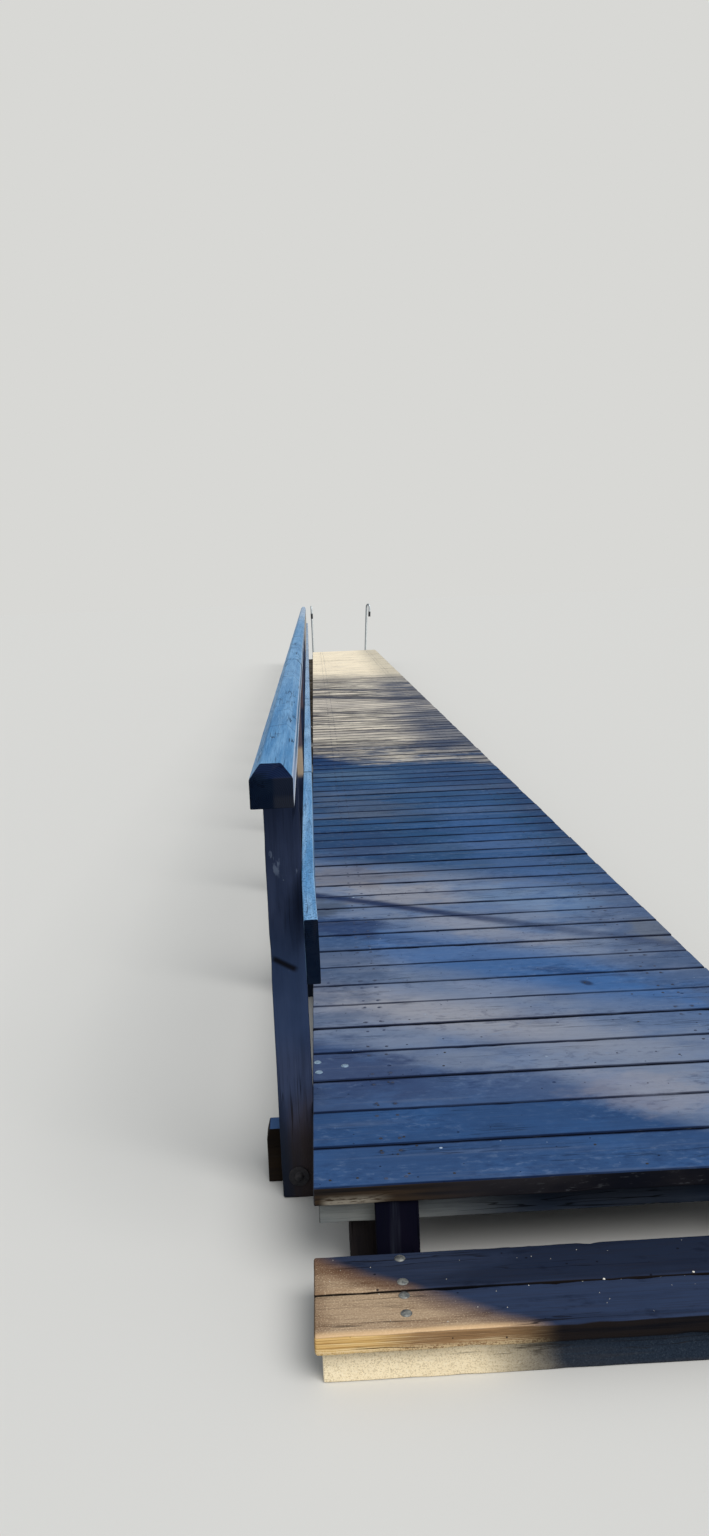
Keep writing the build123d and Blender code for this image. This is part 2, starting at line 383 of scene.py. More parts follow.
def deck_zones(wood, sun_shade_noise):
    """The ground colour: slate in painted shade, then taupe in painted sunlight, a warm grey dappled with painted sun
    and shade, and pale sand in painted sunlight.
    """
    near = wood.y.rise(7.0, 5.5)
    slow = (wood.patch - 0.5) * (1.8 - near * 1.76) + (sun_shade_noise - 0.5) * (5.0 - near * 4.88)
    lean = wood.x * (near * (ZONE_LEAN - FAR_LEAN) + FAR_LEAN)
    stops = [(place / DECK_END, shade) for place, shade in DECK_ZONES]
    wood.base = wood.net.add("ShaderNodeValToRGB", {"Fac": (wood.y + lean + slow) / DECK_END}, stops=stops)
    # Blotches of painted shade near the shore, and pale patches of painted sunlight over the first boards
    shaded = wood.blotches(2.6, 3.6, 0, 4, 0.6)
    wood.coat(shaded.rise(0.44, 0.66) * near * 0.34, SHADE_BLUE)
    wood.coat(shaded.rise(0.50, 0.30) * wood.y.rise(3.4, 2.8) * wood.y.rise(0.8, 1.3) * 0.25, (140, 150, 176))


print("stops along the deck:", len(DECK_ZONES))

# %% [markdown]
# ## Patches and bands
#
# Over the ground lie marks that have a place of their own: patches of painted sunlight and painted
# shadow, and bands of painted shadow and sunlight that cross the deck aslant. A table
# notes where each one lies, how large and how strong it is. A patch is an ellipse with a ragged edge,
# skewed the way that the bands run. A band is a line across the deck with a core and a soft edge.

# %% Patches and bands of painted sunlight and shadow on the deck
# The deep blue of painted shadow
SHADOW_BLUE = (32, 58, 102)
PATCH_LEAN = 0.40
# Across and along the jetty, half sizes of the patch, how strong it is and its colour
# Most patches are painted sunlight and painted shadow; the small dark dot is a mark in the wood.
DECK_PATCHES = [
    (0.68, 2.10, 0.27, 1.00, 0.80, (66, 88, 124)), (-0.68, 2.05, 0.24, 0.70, 0.65, (54, 76, 110)),
    (0.40, 1.26, 0.26, 0.18, 0.55, (78, 104, 144)), (-0.64, 0.98, 0.26, 0.20, 0.85, SHADOW_BLUE),
    (-0.10, 0.79, 0.26, 0.09, 0.85, (50, 78, 122)), (0.07, 2.17, 0.22, 0.09, 0.40, SUN_PATCH_GREY),
    (0.24, 0.70, 0.20, 0.13, 0.35, (164, 160, 166)), (-0.30, 2.88, 0.26, 0.22, 0.75, SUN_PATCH_GREY),
    (0.26, 2.72, 0.28, 0.24, 0.50, (112, 142, 180)), (-0.08, 2.40, 0.20, 0.09, 0.35, SUN_PATCH_GREY),
    (-0.56, 2.40, 0.17, 0.13, 0.90, SHADOW_BLUE), (-0.36, 2.20, 0.16, 0.07, 0.45, (52, 72, 112)),
    (0.22, 1.71, 0.13, 0.035, 0.55, SHADOW_BLUE), (0.25, 1.585, 0.018, 0.022, 0.75, (16, 26, 54)),
    (-0.65, 2.70, 0.08, 0.16, 0.55, (72, 80, 90)), (0.64, 2.14, 0.07, 0.20, 0.45, (108, 112, 116)),
    (-0.50, 3.24, 0.26, 0.18, 0.65, (108, 108, 118)), (0.62, 3.00, 0.22, 0.14, 0.50, (56, 92, 142)),
    (0.30, 3.90, 0.24, 1.10, 0.45, (66, 100, 152)), (0.68, 4.90, 0.10, 1.60, 0.55, (38, 60, 98)),
    (-0.48, 3.95, 0.30, 0.40, 0.55, (38, 60, 98)), (-0.42, 5.05, 0.36, 0.40, 0.50, (86, 98, 118)),
    (-0.40, 6.30, 0.34, 0.26, 0.50, (82, 110, 140)), (0.40, 6.05, 0.34, 0.60, 0.50, (40, 64, 104)),
    (0.62, 6.90, 0.12, 0.22, 0.55, (124, 122, 122))]
# A corner of painted shadow far out on the left
SHADOW_CORNER = (-0.64, 6.98, 0.22, 0.40, 0.95, (20, 54, 98))
# Where a slanting band crosses the middle, how far it slants, half widths of its core and of its soft edge,
# how strong it is at the left and at the right, and its colour
# Band colours: painted shadow and painted sunlight
SHADOW_STRIPE = (22, 40, 78)
BAND_SHADOW = (52, 58, 74)
BAND_SUNLIGHT = (216, 208, 196)
WIDE_BANDS = [(1.20, 0.60, 0.02, 0.26, 0.85, 0.05, SUN_PATCH_GREY), (1.84, 0.74, 0.08, 0.36, 0.78, 0.92, SHADE_BLUE)]
LATE_BANDS = [(2.430, 0.714, 0.012, 0.080, 0.92, 0.38, SHADOW_STRIPE), (8.70, 0.40, 0.05, 0.40, 0.50, 0.00, BAND_SUNLIGHT),
              (9.75, 0.40, 0.02, 0.10, 0.55, 0.60, BAND_SHADOW), (10.60, 0.45, 0.03, 0.14, 0.60, 0.50, BAND_SHADOW),
              (11.60, 0.50, 0.20, 1.00, 0.80, 0.10, BAND_SUNLIGHT), (12.43, 0.58, 0.10, 0.24, 0.85, 0.70, BAND_SHADOW),
              (13.62, 0.56, 0.06, 0.20, 0.80, 0.60, BAND_SHADOW), (14.90, 0.50, 0.04, 0.18, 0.45, 0.40, BAND_SHADOW),
              (15.80, 0.50, 0.03, 0.12, 0.35, 0.25, BAND_SHADOW)]


def deck_bands(wood, bands):
    for place, slope, core, edge, at_left, at_right, shade in bands:
        away = (wood.y + wood.x * slope + (wood.patch - 0.5) * core * 2 - place).size()
        strength = wood.x.rise(-0.30, 0.50) * (at_right - at_left) + at_left
        wood.coat(away.rise(edge, core) * strength, shade)


def deck_patches(wood, ragged, patches):
    for across, along, half_x, half_y, strength, shade in patches:
        aside = wood.x - across
        away = (aside / half_x).power(2.0) + ((wood.y - along + aside * PATCH_LEAN) / half_y).power(2.0)
        wood.coat((away.power(0.5) + ragged).rise(1.45, 0.45) * strength, shade)


print("patches:", len(DECK_PATCHES) + 1, "bands:", len(WIDE_BANDS + LATE_BANDS))


# %% Weathering and painted light over the lake
def deck_far_weather_and_dapple(wood, sun_shade_noise):
    """Out over the lake each board has its own long streaks, dappled with painted sunlight and shade, and the right
    side lies in painted shade.
    """
    net = wood.net
    far = (wood.y + wood.x * 0.30 + (wood.patch - 0.5) * 1.6).rise(6.7, 8.1)
    bright = wood.y.rise(14.0, 17.0)
    dull = 1 - bright
    fine = net.noise(net.joined(wood.x * 1.5 + wood.y, wood.y * 8.0, 0.0), 1.0, 4, 0.7)
    # A dapple of painted sunlight and shade over the far boards
    dapple = sun_shade_noise * 0.45 + fine * 0.55
    in_shade = net.mix(wood.x.rise(-0.30, 0.30), (88, 84, 80), (52, 62, 86))
    wood.coat(dapple.rise(0.500, 0.450) * far * (0.86 - bright * 0.76), in_shade)
    wood.coat(dapple.rise(0.505, 0.560) * far * (0.86 - bright * 0.58), (248, 238, 220))
    wood.coat(wood.tone.rise(0.5, 1.0) * (far * 0.40 + 0.06) * dull, (190, 184, 172))
    wood.coat(wood.tone.rise(0.5, 0.0) * (far * 0.42 + 0.10) * dull, (44, 50, 66))
    # Painted shade along the right side, paler under the painted sun far out
    right_side_shade = (wood.x - bright * 0.12).rise(0.00, 0.45) * (wood.y.rise(11.5, 10.0) * 0.22 + 0.52)
    wood.coat(right_side_shade * far, net.mix(bright, (62, 76, 102), (160, 158, 146)))
    # Bands of painted shadow and sunlight, and a corner of painted shadow
    deck_bands(wood, LATE_BANDS)
    deck_patches(wood, (sun_shade_noise - 0.5) * 2.0, [SHADOW_CORNER])


print("the weathering runs from about 7 metres out to", round(DECK_END, 1))

# %% [markdown]
# ## What feet, screws and joints leave
#
# Close up, a board has grain, scuffs, pits and flecks, a dark ring round some of its screws and a line
# of grime along each open joint, widened further out by painted shade in the gaps. The sides of the
# boards hardly see the sun. They are brown where the shore end gets knocked, with a rubbed pale
# corner, and elsewhere nearly black with painted shade, most of all inside the joints.

# %% Screw stains and the sides of the boards
SCREW_FROM_LINE = 0.026
SCREW_FROM_MIDDLE = 0.064
LINE_FROM_MIDDLE = 0.504


def screw_stain(wood):
    """A dark ring in the wood round some of the screws, from where they stand in a board."""
    outer = ((wood.along.size() - LINE_FROM_MIDDLE).size() - SCREW_FROM_LINE).size()
    row = wood.across.size() - SCREW_FROM_MIDDLE
    away = (outer.power(2.0) + row.power(2.0)).power(0.5)
    some = wood.net.noise(wood.place, 8.0, 1).rise(0.42, 0.60)
    return away.rise(0.012, 0.004) * wood.up.rise(0.6, 0.9) * some


def board_side(wood):
    """The colour of the boards' sides, brown at the shore end and near black with painted shade elsewhere."""
    net = wood.net
    brown = net.mix(wood.streak.rise(0.40, 0.62), (22, 20, 18), (58, 46, 32))
    black = net.mix(wood.cloud.rise(0.40, 0.64), (14, 14, 18), (38, 36, 38))
    # To the right the front face is near black with painted shade
    shade = net.mix((wood.x + (wood.patch - 0.5) * 0.4).rise(-0.62, -0.26), brown, black)
    # Every side behind the front face is near black: painted shade between the boards
    shade = net.mix(wood.y.rise(deck_low.y + 0.006, deck_low.y + 0.014), shade, (12, 16, 28))
    rubbed = wood.blotches(26, 0, 170, 4, 0.65)
    low = wood.z.rise(DECK_TOP - 0.016, DECK_TOP - 0.038) * wood.x.rise(-0.50, -0.60) * wood.x.rise(-0.69, -0.66)
    shade = net.mix(low * rubbed.rise(0.36, 0.52) * 0.9, shade, (138, 132, 120))
    return net.mix(rubbed.rise(0.58, 0.66) * wood.x.rise(-0.35, -0.05) * 0.40, shade, (84, 86, 90))


print("screw lines stand", LINE_FROM_MIDDLE, "m from the middle")


# %% Deck wood
def deck_finish():
    wood = Wood("deck_wood", knots=0.8)
    net = wood.net
    # A slanting noise that shapes the borders of the painted sunlight and shade
    sun_shade_noise = net.noise(net.joined(wood.x * 1.4 + wood.y * 0.5, wood.y * 2.4, 0.0), 1.0, 5, 0.75)
    deck_zones(wood, sun_shade_noise)
    deck_bands(wood, WIDE_BANDS)
    deck_patches(wood, (wood.blotches(4, 6, 0, 5, 0.65) - 0.5) * 3.2, DECK_PATCHES)
    deck_far_weather_and_dapple(wood, sun_shade_noise)
    # The grain streaks show more further out, where the deck is painted sunlit
    in_sun = wood.y.rise(7.0, 12.0) * 0.60 + 0.20
    sand = wood.y.rise(14.0, 17.0)
    wood.coat(wood.streak.rise(0.50, 0.74) * 0.50 * in_sun, net.mix(sand, (40, 48, 70), (176, 152, 122)))
    wood.coat(wood.streak.rise(0.46, 0.26) * 0.40 * in_sun, net.mix(sand, (168, 174, 184), (255, 244, 220)))
    wood.coats((wood.cloud, 0.52, 0.74, 0.28, (38, 56, 94)), (wood.fibre, 0.45, 0.75, 0.16, (38, 44, 62)))
    scuffed = wood.blotches(26, 44, 0, 5, 0.65)
    worn_here = net.noise(wood.place * (3, 5, 0) + (0, 0, 4), 1.0, 3, 0.6).rise(0.42, 0.62) * 0.8 + 0.2
    wood.coat(scuffed.rise(0.52, 0.70) * worn_here * 0.34, (116, 136, 168))
    wood.coat(scuffed.rise(0.50, 0.34) * worn_here * 0.34, (20, 36, 74))
    wood.coat(wood.knot.rise(0.60, 0.95) * 0.60, (34, 40, 58))
    wood.coat(wood.check * 0.50, (22, 28, 44))
    wood.coat(wood.pit * 0.80, (22, 28, 46))
    wood.coat(wood.fleck * (wood.x.rise(-0.20, -0.45) * wood.y.rise(2.6, 1.8) * 0.55 + 0.30), (186, 204, 226))
    pale_here = wood.x.rise(0.10, -0.30) * wood.y.rise(3.4, 2.6) * 0.70 + 0.10
    wood.coat(wood.spots(8.0, 0.0048, 0.66) * pale_here, (188, 206, 228))
    wood.coat(wood.spots(11.0, 0.0062, 0.68) * 0.66, (18, 32, 68))
    wood.coat(screw_stain(wood) * 0.45, (24, 30, 48))
    # A line of grime along the joints, widened further out into the painted shade of the gaps
    edge = wood.rim / (wood.y.rise(1.0, 6.0) * 1.6 + 1)
    joint_dirt_and_shade = edge.rise(0.011, 0.003) * (wood.cloud.rise(0.30, 0.56) * 0.35 + 0.65) * wood.y.rise(20.0, 9.0)
    wood.coat(joint_dirt_and_shade * 0.90, (10, 20, 46))
    # The sides of the boards, brown and near black with painted shade
    wood.coat(wood.up.rise(0.75, 0.45) * 0.95, board_side(wood))
    wood.coat(wood.end * 0.7, net.mix(wood.ring, (36, 40, 52), (66, 68, 76)))
    height = wood.fibre * 0.5 + wood.streak * 0.4 - wood.check * 1.2 + wood.knot * 0.4 - wood.pit
    return wood.finish(0.55 + wood.streak * 0.25 + wood.cloud * 0.10, height, 0.0009)


deck_wood = deck_finish()
print("deck wood has", len(deck_wood.node_tree.nodes), "nodes")

# %% [markdown]
# ## The handrail and the mid-rail
#
# The rails have weathered to a silvery grey. Near the shore it is tinted blue with painted shade, and
# further out it is paler, partly in painted sunlight. Dark marks run across the nearest length of the
# handrail, and the end grain is almost black, dark wood deepened with painted shade. Undersides carry
# painted shade, and the side that faces the deck painted sunlight and a painted highlight, so the colour
# also depends on which way a face looks.

# %% Rail wood
# Middle along the jetty, half width along, lean, where it starts and stops across, how dark it is
RAIL_MARKS = [(0.735, 0.005, 0.0, -0.008, 0.010, 0.85), (0.93, 0.016, 0.9, -0.050, 0.060, 0.28),
              (1.33, 0.007, 1.6, -0.014, 0.060, 0.65), (1.46, 0.012, 0.0, -0.045, 0.010, 0.30),
              (2.76, 0.020, 0.5, -0.030, 0.050, 0.40), (3.02, 0.016, 0.2, -0.040, 0.030, 0.40),
              (5.30, 0.050, 0.8, -0.050, 0.050, 0.40), (7.10, 0.060, 0.3, -0.050, 0.050, 0.45)]


def rail_marks(wood):
    """Dark marks that run across the nearest length of the handrail."""
    for place, half, lean, low, high, strength in RAIL_MARKS:
        away = (wood.y - wood.across * lean - place).size().rise(half, half * 0.4)
        ends = wood.across.rise(low - 0.003, low + 0.003) * wood.across.rise(high + 0.003, high - 0.003)
        wood.coat(away * ends * strength, (34, 52, 86))


def rail_sides(wood):
    """The chamfer and the side that face the deck, in painted sunlight: grey near the shore, with a painted highlight
    under the shoulder.
    """
    side = wood.up.size().rise(0.40, 0.15) * wood.across.rise(0.0, 0.01)
    # Painted sunlight on the side that faces the deck, and a painted highlight low on it
    wood.coat(side * 0.75, wood.net.mix(wood.y.rise(0.4, 0.9), (160, 176, 206), (88, 122, 154)))
    wood.coat(side * wood.z.rise(1.238, 1.224) * 0.8, (206, 214, 226))
    wood.coat(wood.across.rise(-0.024, -0.030) * wood.fibre.rise(0.66, 0.36) * wood.up.rise(0.2, 0.5) * 0.55,
              (160, 188, 216))


def rail_finish(name, body, pale, mottled, bleach_and_sun_from, marked):
    """Silvery rails, tinted blue with painted shade near the shore and paler further out, partly in painted sunlight.
    `mottled`: small dark dots on top.
    """
    wood = Wood(name, knots=0.6)
    net = wood.net
    wood.base = net.mix(wood.streak.rise(0.36, 0.66), body, pale)
    # Paler further out: bleaching together with painted sunlight
    wood.coats((wood.y, bleach_and_sun_from, bleach_and_sun_from + 11.0, 0.80, (188, 196, 208)), (wood.y, 0.8, 3.0, 0.22, (166, 198, 226)))
    wood.coat(wood.tone * 0.20, (88, 120, 156))
    wood.coats((wood.cloud, 0.50, 0.72, 0.35, (70, 108, 150)),
               (wood.fibre, 0.48, 0.72, 0.40, (48, 80, 120)),
               (wood.fibre, 0.44, 0.28, 0.30, (150, 190, 222)),
               (net.noise(wood.place, 210.0, 3, 0.65), 0.51, 0.60, mottled, (42, 72, 112)))
    if marked:
        rail_marks(wood)
    wood.coat(wood.check * 0.85, (24, 36, 60))
    wood.coat(wood.knot.rise(0.6, 0.95) * 0.6, (44, 60, 88))
    wood.coat(wood.pit * 0.7, (30, 44, 70))
    # A painted highlight along the arrises on the side that faces the deck
    shoulder = wood.rim.rise(0.0035, 0.0005) * wood.up.rise(0.72, 0.50) * wood.across.rise(0.0, 0.01)
    wood.coat(shoulder * 0.55, (206, 214, 224))
    # Painted shade on the undersides
    wood.coat(wood.up.rise(0.3, -0.2) * 0.65, (40, 50, 70))
    if marked:
        rail_sides(wood)
    # End grain: dark wood deepened with painted shade; the sloped face above the shoulder is lighter with painted sky
    # light
    sawn = net.mix(wood.ring, (0, 3, 14), (6, 14, 34))
    planed = net.mix(wood.ring, (6, 13, 38), (16, 27, 58))
    wood.coat(wood.end * 0.98, net.mix(wood.up.rise(0.3, 0.5), sawn, planed))
    height = wood.fibre * 0.8 + wood.streak * 0.4 - wood.check * 1.6 + wood.knot * 0.4 - wood.pit
    return wood.finish(0.56 + wood.streak * 0.25, height)


# The blue of the rails is partly painted shade
handrail_wood = rail_finish("handrail_wood", (72, 128, 178), (114, 162, 206), 0.15, 8.0, True)
mid_rail_wood = rail_finish("mid_rail_wood", (90, 154, 210), (152, 198, 240), 0.68, 1.5, False)
print("rail wood ready")

# %% [markdown]
# ## Posts, beams and the front frame
#
# What stands low under the deck is dark. The posts are slate, with painted shadow under the rails at
# the top of the nearest one, a patch of painted sunlight on the second, brown and green at the foot,
# and light brown in painted sunlight far out. The cross-beams are nearly black, with painted blue sky
# light on their tops where they stand out past the deck and painted sunlight further out. The header
# board is pale at its left end and carries painted shadow under the deck's edge. They share one recipe
# of dark coats, and each adds its own marks.

# %% Dark timber
def dark_layers(wood, body, warm, foot):
    """Dark timber, with a wet greenish foot up to the height `foot`."""
    wood.base = wood.net.mix(wood.cloud.rise(0.38, 0.66), body, warm)
    wood.coats((wood.streak, 0.50, 0.72, 0.35, (18, 20, 28)), (wood.streak, 0.44, 0.24, 0.18, (92, 100, 114)),
               (wood.fibre, 0.45, 0.75, 0.28, (14, 16, 22)),
               (wood.z + wood.cloud * 0.2, foot + 0.06, foot - 0.08, 0.55, (30, 34, 38)),
               (wood.knot, 0.55, 0.95, 0.80, (12, 12, 18)))
    wood.coat(wood.check * 0.8, (8, 10, 14))
    wood.coat(wood.fleck * 0.5, (128, 140, 154))


def dark_close(wood, dent=0.0):
    wood.coat(wood.end * 0.6, wood.net.mix(wood.ring, (24, 22, 24), (50, 44, 40)))
    height = wood.fibre * 0.7 + wood.streak * 0.5 - wood.check * 1.4 + wood.knot * 0.5 - dent
    return wood.finish(0.66 + wood.streak * 0.2, height)


def dark_finish(name, body, warm, foot, knots=1.0):
    wood = Wood(name, knots)
    dark_layers(wood, body, warm, foot)
    return dark_close(wood)


frame_wood = dark_finish("frame_wood", (32, 30, 34), (48, 43, 42), 0.12)
upright_wood = dark_finish("upright_wood", (8, 10, 24), (18, 16, 30), 0.05, knots=0.3)
print("dark timber ready")

# %% Post, beam and header wood
GOUGE_PLACE = (0.758, 0.6735)
GOUGE_ACROSS = (0.492, 0.871)


def post_finish():
    """Slate posts, light brown in painted sunlight far out. The nearest has painted shadow under the rails at its top,
    painted light in its middle and a slanting gouge at about knee height; the second has a patch of painted sunlight.
    """
    wood = Wood("post_wood")
    net = wood.net
    dark_layers(wood, (28, 38, 60), (54, 64, 90), 0.30)
    first = wood.y.rise(0.80, 0.77)
    # Painted light on the middle of the nearest post
    wood.coat(wood.z.rise(0.38, 0.50) * wood.z.rise(0.82, 0.66) * first * 0.45, (54, 72, 106))
    # Painted shadow under the rails at the top of the nearest post
    wood.coat(wood.z.rise(0.80, 1.10) * first * 0.62, (12, 20, 38))
    brown = (wood.z + wood.cloud * 0.3).rise(0.52, 0.34) * (wood.x + wood.streak * 0.06).rise(-0.76, -0.70)
    wood.coat(brown * first * 0.55, (64, 52, 44))
    after_first = wood.y.rise(1.6, 2.0)
    wood.coat(wood.z.rise(1.02, 1.06) * after_first * wood.y.rise(6.0, 5.0) * 0.55, (104, 88, 88))
    second = after_first * wood.y.rise(2.6, 2.3)
    # A patch of painted sunlight on the front of the second post
    wood.coat(wood.z.rise(0.915, 0.94) * wood.z.rise(1.055, 1.03) * second * 0.80, (178, 158, 132))
    # Light brown in painted sunlight: low down from five metres out, all over from about ten
    low = wood.y.rise(5.0, 9.0) * wood.z.rise(0.42, 0.30) * 0.75
    tan = net.mix(wood.streak.rise(0.38, 0.64), (150, 142, 130), (212, 206, 196))
    wood.coat((wood.y.rise(9.5, 12.5) * 0.85).most(low), tan)
    right, up = wood.x + GOUGE_PLACE[0], wood.z - GOUGE_PLACE[1]
    over = right * GOUGE_ACROSS[0] + up * GOUGE_ACROSS[1]
    beside = right * GOUGE_ACROSS[1] - up * GOUGE_ACROSS[0]
    gouge = over.size().rise(0.012, 0.002) * beside.size().rise(0.044, 0.026) * first
    scratch = wood.blotches(60, 1, 22, 3, 0.6).rise(0.60, 0.70)
    rubbed = (wood.z - 0.955).size().rise(0.050, 0.020) * first
    wood.coat(scratch * rubbed * 0.6, (96, 108, 128))
    wood.coat(gouge * 0.9, (14, 12, 12))
    return dark_close(wood, gouge * 3)


def beam_finish():
    """Cross-beams: nearly black, with painted blue sky light on the tops where they stand out past the deck, and
    painted sunlight further out.
    """
    wood = Wood("beam_wood")
    dark_layers(wood, (24, 20, 18), (50, 40, 30), 0.10)
    in_sun = wood.net.mix(wood.streak.rise(0.38, 0.64), (112, 104, 94), (160, 150, 136))
    # Painted sunlight on their left parts further out
    wood.coat(wood.y.rise(5.0, 9.0) * wood.x.rise(-0.66, -0.72) * 0.70, in_sun)
    # Painted blue sky light on the tops that stand out past the deck
    wood.coat(wood.up.rise(0.5, 0.8) * wood.x.rise(-0.72, -0.78), (70, 100, 146))
    return dark_close(wood)


def header_finish():
    """The board under the front of the deck: pale at its left end, dark further along, with painted shadow under the
    deck's edge along its top.
    """
    wood = Wood("header_wood", knots=1.4)
    pale_end = (wood.x + (wood.patch - 0.5) * 0.3).rise(-0.16, -0.54)
    body = wood.net.mix(pale_end, (34, 43, 58), (122, 128, 130))
    warm = wood.net.mix(pale_end, (50, 56, 66), (148, 150, 146))
    dark_layers(wood, body, warm, 0.02)
    # Painted shadow under the edge of the deck, weaker at the pale left end
    shadow = wood.z.rise(HEADER_TOP - 0.034, HEADER_TOP - 0.014) * (wood.x.rise(-0.55, -0.35) * 0.5 + 0.35)
    wood.coat(shadow, (6, 8, 14))
    return dark_close(wood)


post_wood = post_finish()
beam_wood = beam_finish()
header_wood = header_finish()
print("posts, beams and header ready")

# %% [markdown]
# ## The step and its riser
#
# The step is trodden by sandy feet. Its left end lies in painted sunlight: tan on top, with a
# straw-coloured front edge that has split along the grain, a painted highlight along that edge and a
# brown band of painted half-shade where the sunlit part ends. Its right end is slate in painted shade,
# and the sides of the boards are near black with painted shade. The riser below is rough sawn and holds
# sand in its grain; it is pale in painted sunlight on the left, slate in painted shade to the right,
# and browner under the tread with painted shadow. One mask tells the sunlit end from the shaded one,
# and both finishes mix two colours with it, coat by coat.

# %% Step wood
SUNNY_TO = -0.29
SUNNY_LEAN = 1.45


def sunny(wood):
    """1 on the left end of the step, in painted sunlight, 0 on its right end, in painted shade. The border slants back
    to the left.
    """
    border = wood.x + (wood.y - step_low.y) * SUNNY_LEAN + (wood.cloud - 0.5) * 0.16
    border = border - wood.up.rise(0.75, 0.45) * 0.01
    return border.rise(SUNNY_TO + 0.08, SUNNY_TO - 0.09)


def straw_edge(wood, split, sandy):
    """The split front edge of the left end, in painted sunlight, lighter low down and where it has been rubbed
    through.
    """
    net = wood.net
    worn_through = (wood.x + (wood.cloud - 0.5) * 0.1).rise(-0.46, -0.62)
    straw = net.mix(worn_through, (150, 118, 84), (214, 176, 112))
    grain_line = net.mix(worn_through, (104, 80, 58), (150, 108, 62))
    straw = net.mix(split.rise(0.50, 0.60) * 0.75, straw, grain_line)
    low = wood.z.rise(STEP_TOP - 0.026, STEP_TOP - 0.040)
    straw = net.mix(split.rise(0.47, 0.38) * (low * 0.45 + 0.50), straw, (250, 232, 190))
    return net.mix(low * sandy.rise(0.42, 0.54) * 0.70, straw, (236, 212, 168))


def two_ends(wood, pale_end, *rows):
    """Coats with one colour at the end in painted shade and another at the end in painted sunlight."""
    wood.coats(*[(layer, low, high, strength, wood.net.mix(pale_end, in_shade, in_sun))
                 for layer, low, high, strength, in_shade, in_sun in rows])


def step_finish():
    """Step boards: tan in painted sunlight with a straw-coloured, split edge at the left end, slate in painted shade
    further along.
    """
    wood = Wood("step_wood")
    net = wood.net
    pale_end = sunny(wood)
    # Slate in painted shade, tan in painted sunlight
    slate = net.mix(wood.y.rise(0.118, 0.104), (33, 42, 62), (46, 59, 86))
    wood.base = net.mix(pale_end, slate, (174, 151, 125))
    two_ends(wood, pale_end, (wood.cloud, 0.48, 0.66, 0.55, (52, 63, 88), (138, 108, 82)),
             (wood.cloud, 0.44, 0.30, 0.50, (28, 38, 60), (202, 172, 138)),
             (wood.streak, 0.48, 0.66, 0.45, (22, 28, 44), (104, 76, 56)))
    wood.coat(wood.fibre.rise(0.42, 0.70) * 0.30, (38, 34, 36))
    two_ends(wood, pale_end, (wood.blotches(7, 16, 0, 4, 0.65), 0.56, 0.68, 0.45, (14, 20, 36), (92, 72, 58)))
    wood.coat(wood.x.rise(-0.66, -0.70) * pale_end * 0.40, (86, 60, 44))
    # A brown band of painted half-shade along the border of the painted sunlight
    half_shade_fringe = pale_end * (1 - pale_end) * (wood.y.rise(0.100, 0.125) * 0.9 + 1.1)
    wood.coat(half_shade_fringe.least(0.75), (104, 70, 44))
    sandy = net.noise(wood.place, 240.0, 3, 0.7)
    wood.coat(sandy.rise(0.54, 0.64) * pale_end * 0.45, (222, 200, 170))
    wood.coat(sandy.rise(0.45, 0.36) * pale_end * 0.35, (112, 84, 62))
    side = wood.up.rise(0.75, 0.45)
    front = wood.y.rise(step_low.y + 0.012, step_low.y + 0.004)
    split = wood.blotches(4, 0, 520, 4, 0.7)
    # The sides of the boards: near black with painted shade
    wood.coat(side * 0.95, net.mix(wood.streak.rise(0.40, 0.60), (9, 9, 11), (28, 23, 20)))
    wood.coat(side * front * pale_end * 0.95, straw_edge(wood, split, sandy))
    # A painted highlight along the front edge of the sunlit part
    edge_highlight = wood.rim.rise(0.022, 0.004) * wood.up.rise(0.5, 0.8) * pale_end
    wood.coat(edge_highlight * front.most(wood.y.rise(step_low.y + 0.030, step_low.y + 0.020)) * 0.70, (226, 190, 146))
    wood.coat(wood.knot.rise(0.55, 0.95) * 0.60, (42, 34, 30))
    wood.coat(wood.check * 0.75, (24, 22, 26))
    wood.coat(wood.pit * 0.85, (18, 20, 30))
    wood.coat(wood.fleck * 0.50, (206, 206, 204))
    wood.coat(wood.end * 0.5, net.mix(wood.ring, (60, 48, 38), (96, 78, 60)))
    height = wood.fibre * 0.6 + wood.streak * 0.6 - wood.check * 1.5 + wood.knot * 0.5 + split * side * 1.2
    return wood.finish(0.62 + wood.streak * 0.2, height)


step_wood = step_finish()
print("step wood ready")


# %% Riser wood
def riser_finish():
    """Rough sawn riser with sand caught in its grain: pale in painted sunlight at the left end, slate in painted shade
    to the right, browner under the tread with painted shadow.
    """
    wood = Wood("riser_wood")
    pale_end = (wood.x + (wood.cloud - 0.5) * 0.20).rise(SUNNY_TO + 0.14, SUNNY_TO - 0.08)
    # Pale in painted sunlight at the left end, slate in painted shade to the right
    wood.base = wood.net.mix(pale_end, (38, 48, 62), (248, 232, 198))
    grit = wood.net.noise(wood.place, 300.0, 3, 0.75)
    two_ends(wood, pale_end, (grit, 0.51, 0.62, 0.50, (18, 24, 34), (146, 128, 98)),
             (grit, 0.43, 0.34, 0.60, (66, 74, 84), (252, 246, 226)),
             (wood.cloud, 0.48, 0.70, 0.25, (44, 50, 60), (184, 164, 132)))
    wood.coat(wood.streak.rise(0.50, 0.70) * 0.20, (74, 66, 58))
    # Painted shadow under the tread makes the top of the sunlit part browner
    wood.coat(wood.z.rise(0.035, 0.075) * pale_end * 0.26, (140, 116, 86))
    wood.coat(wood.check * 0.6, (40, 34, 30))
    return wood.finish(0.85, grit * 0.9 + wood.fibre * 0.4 - wood.check)


riser_wood = riser_finish()
print("riser wood ready")

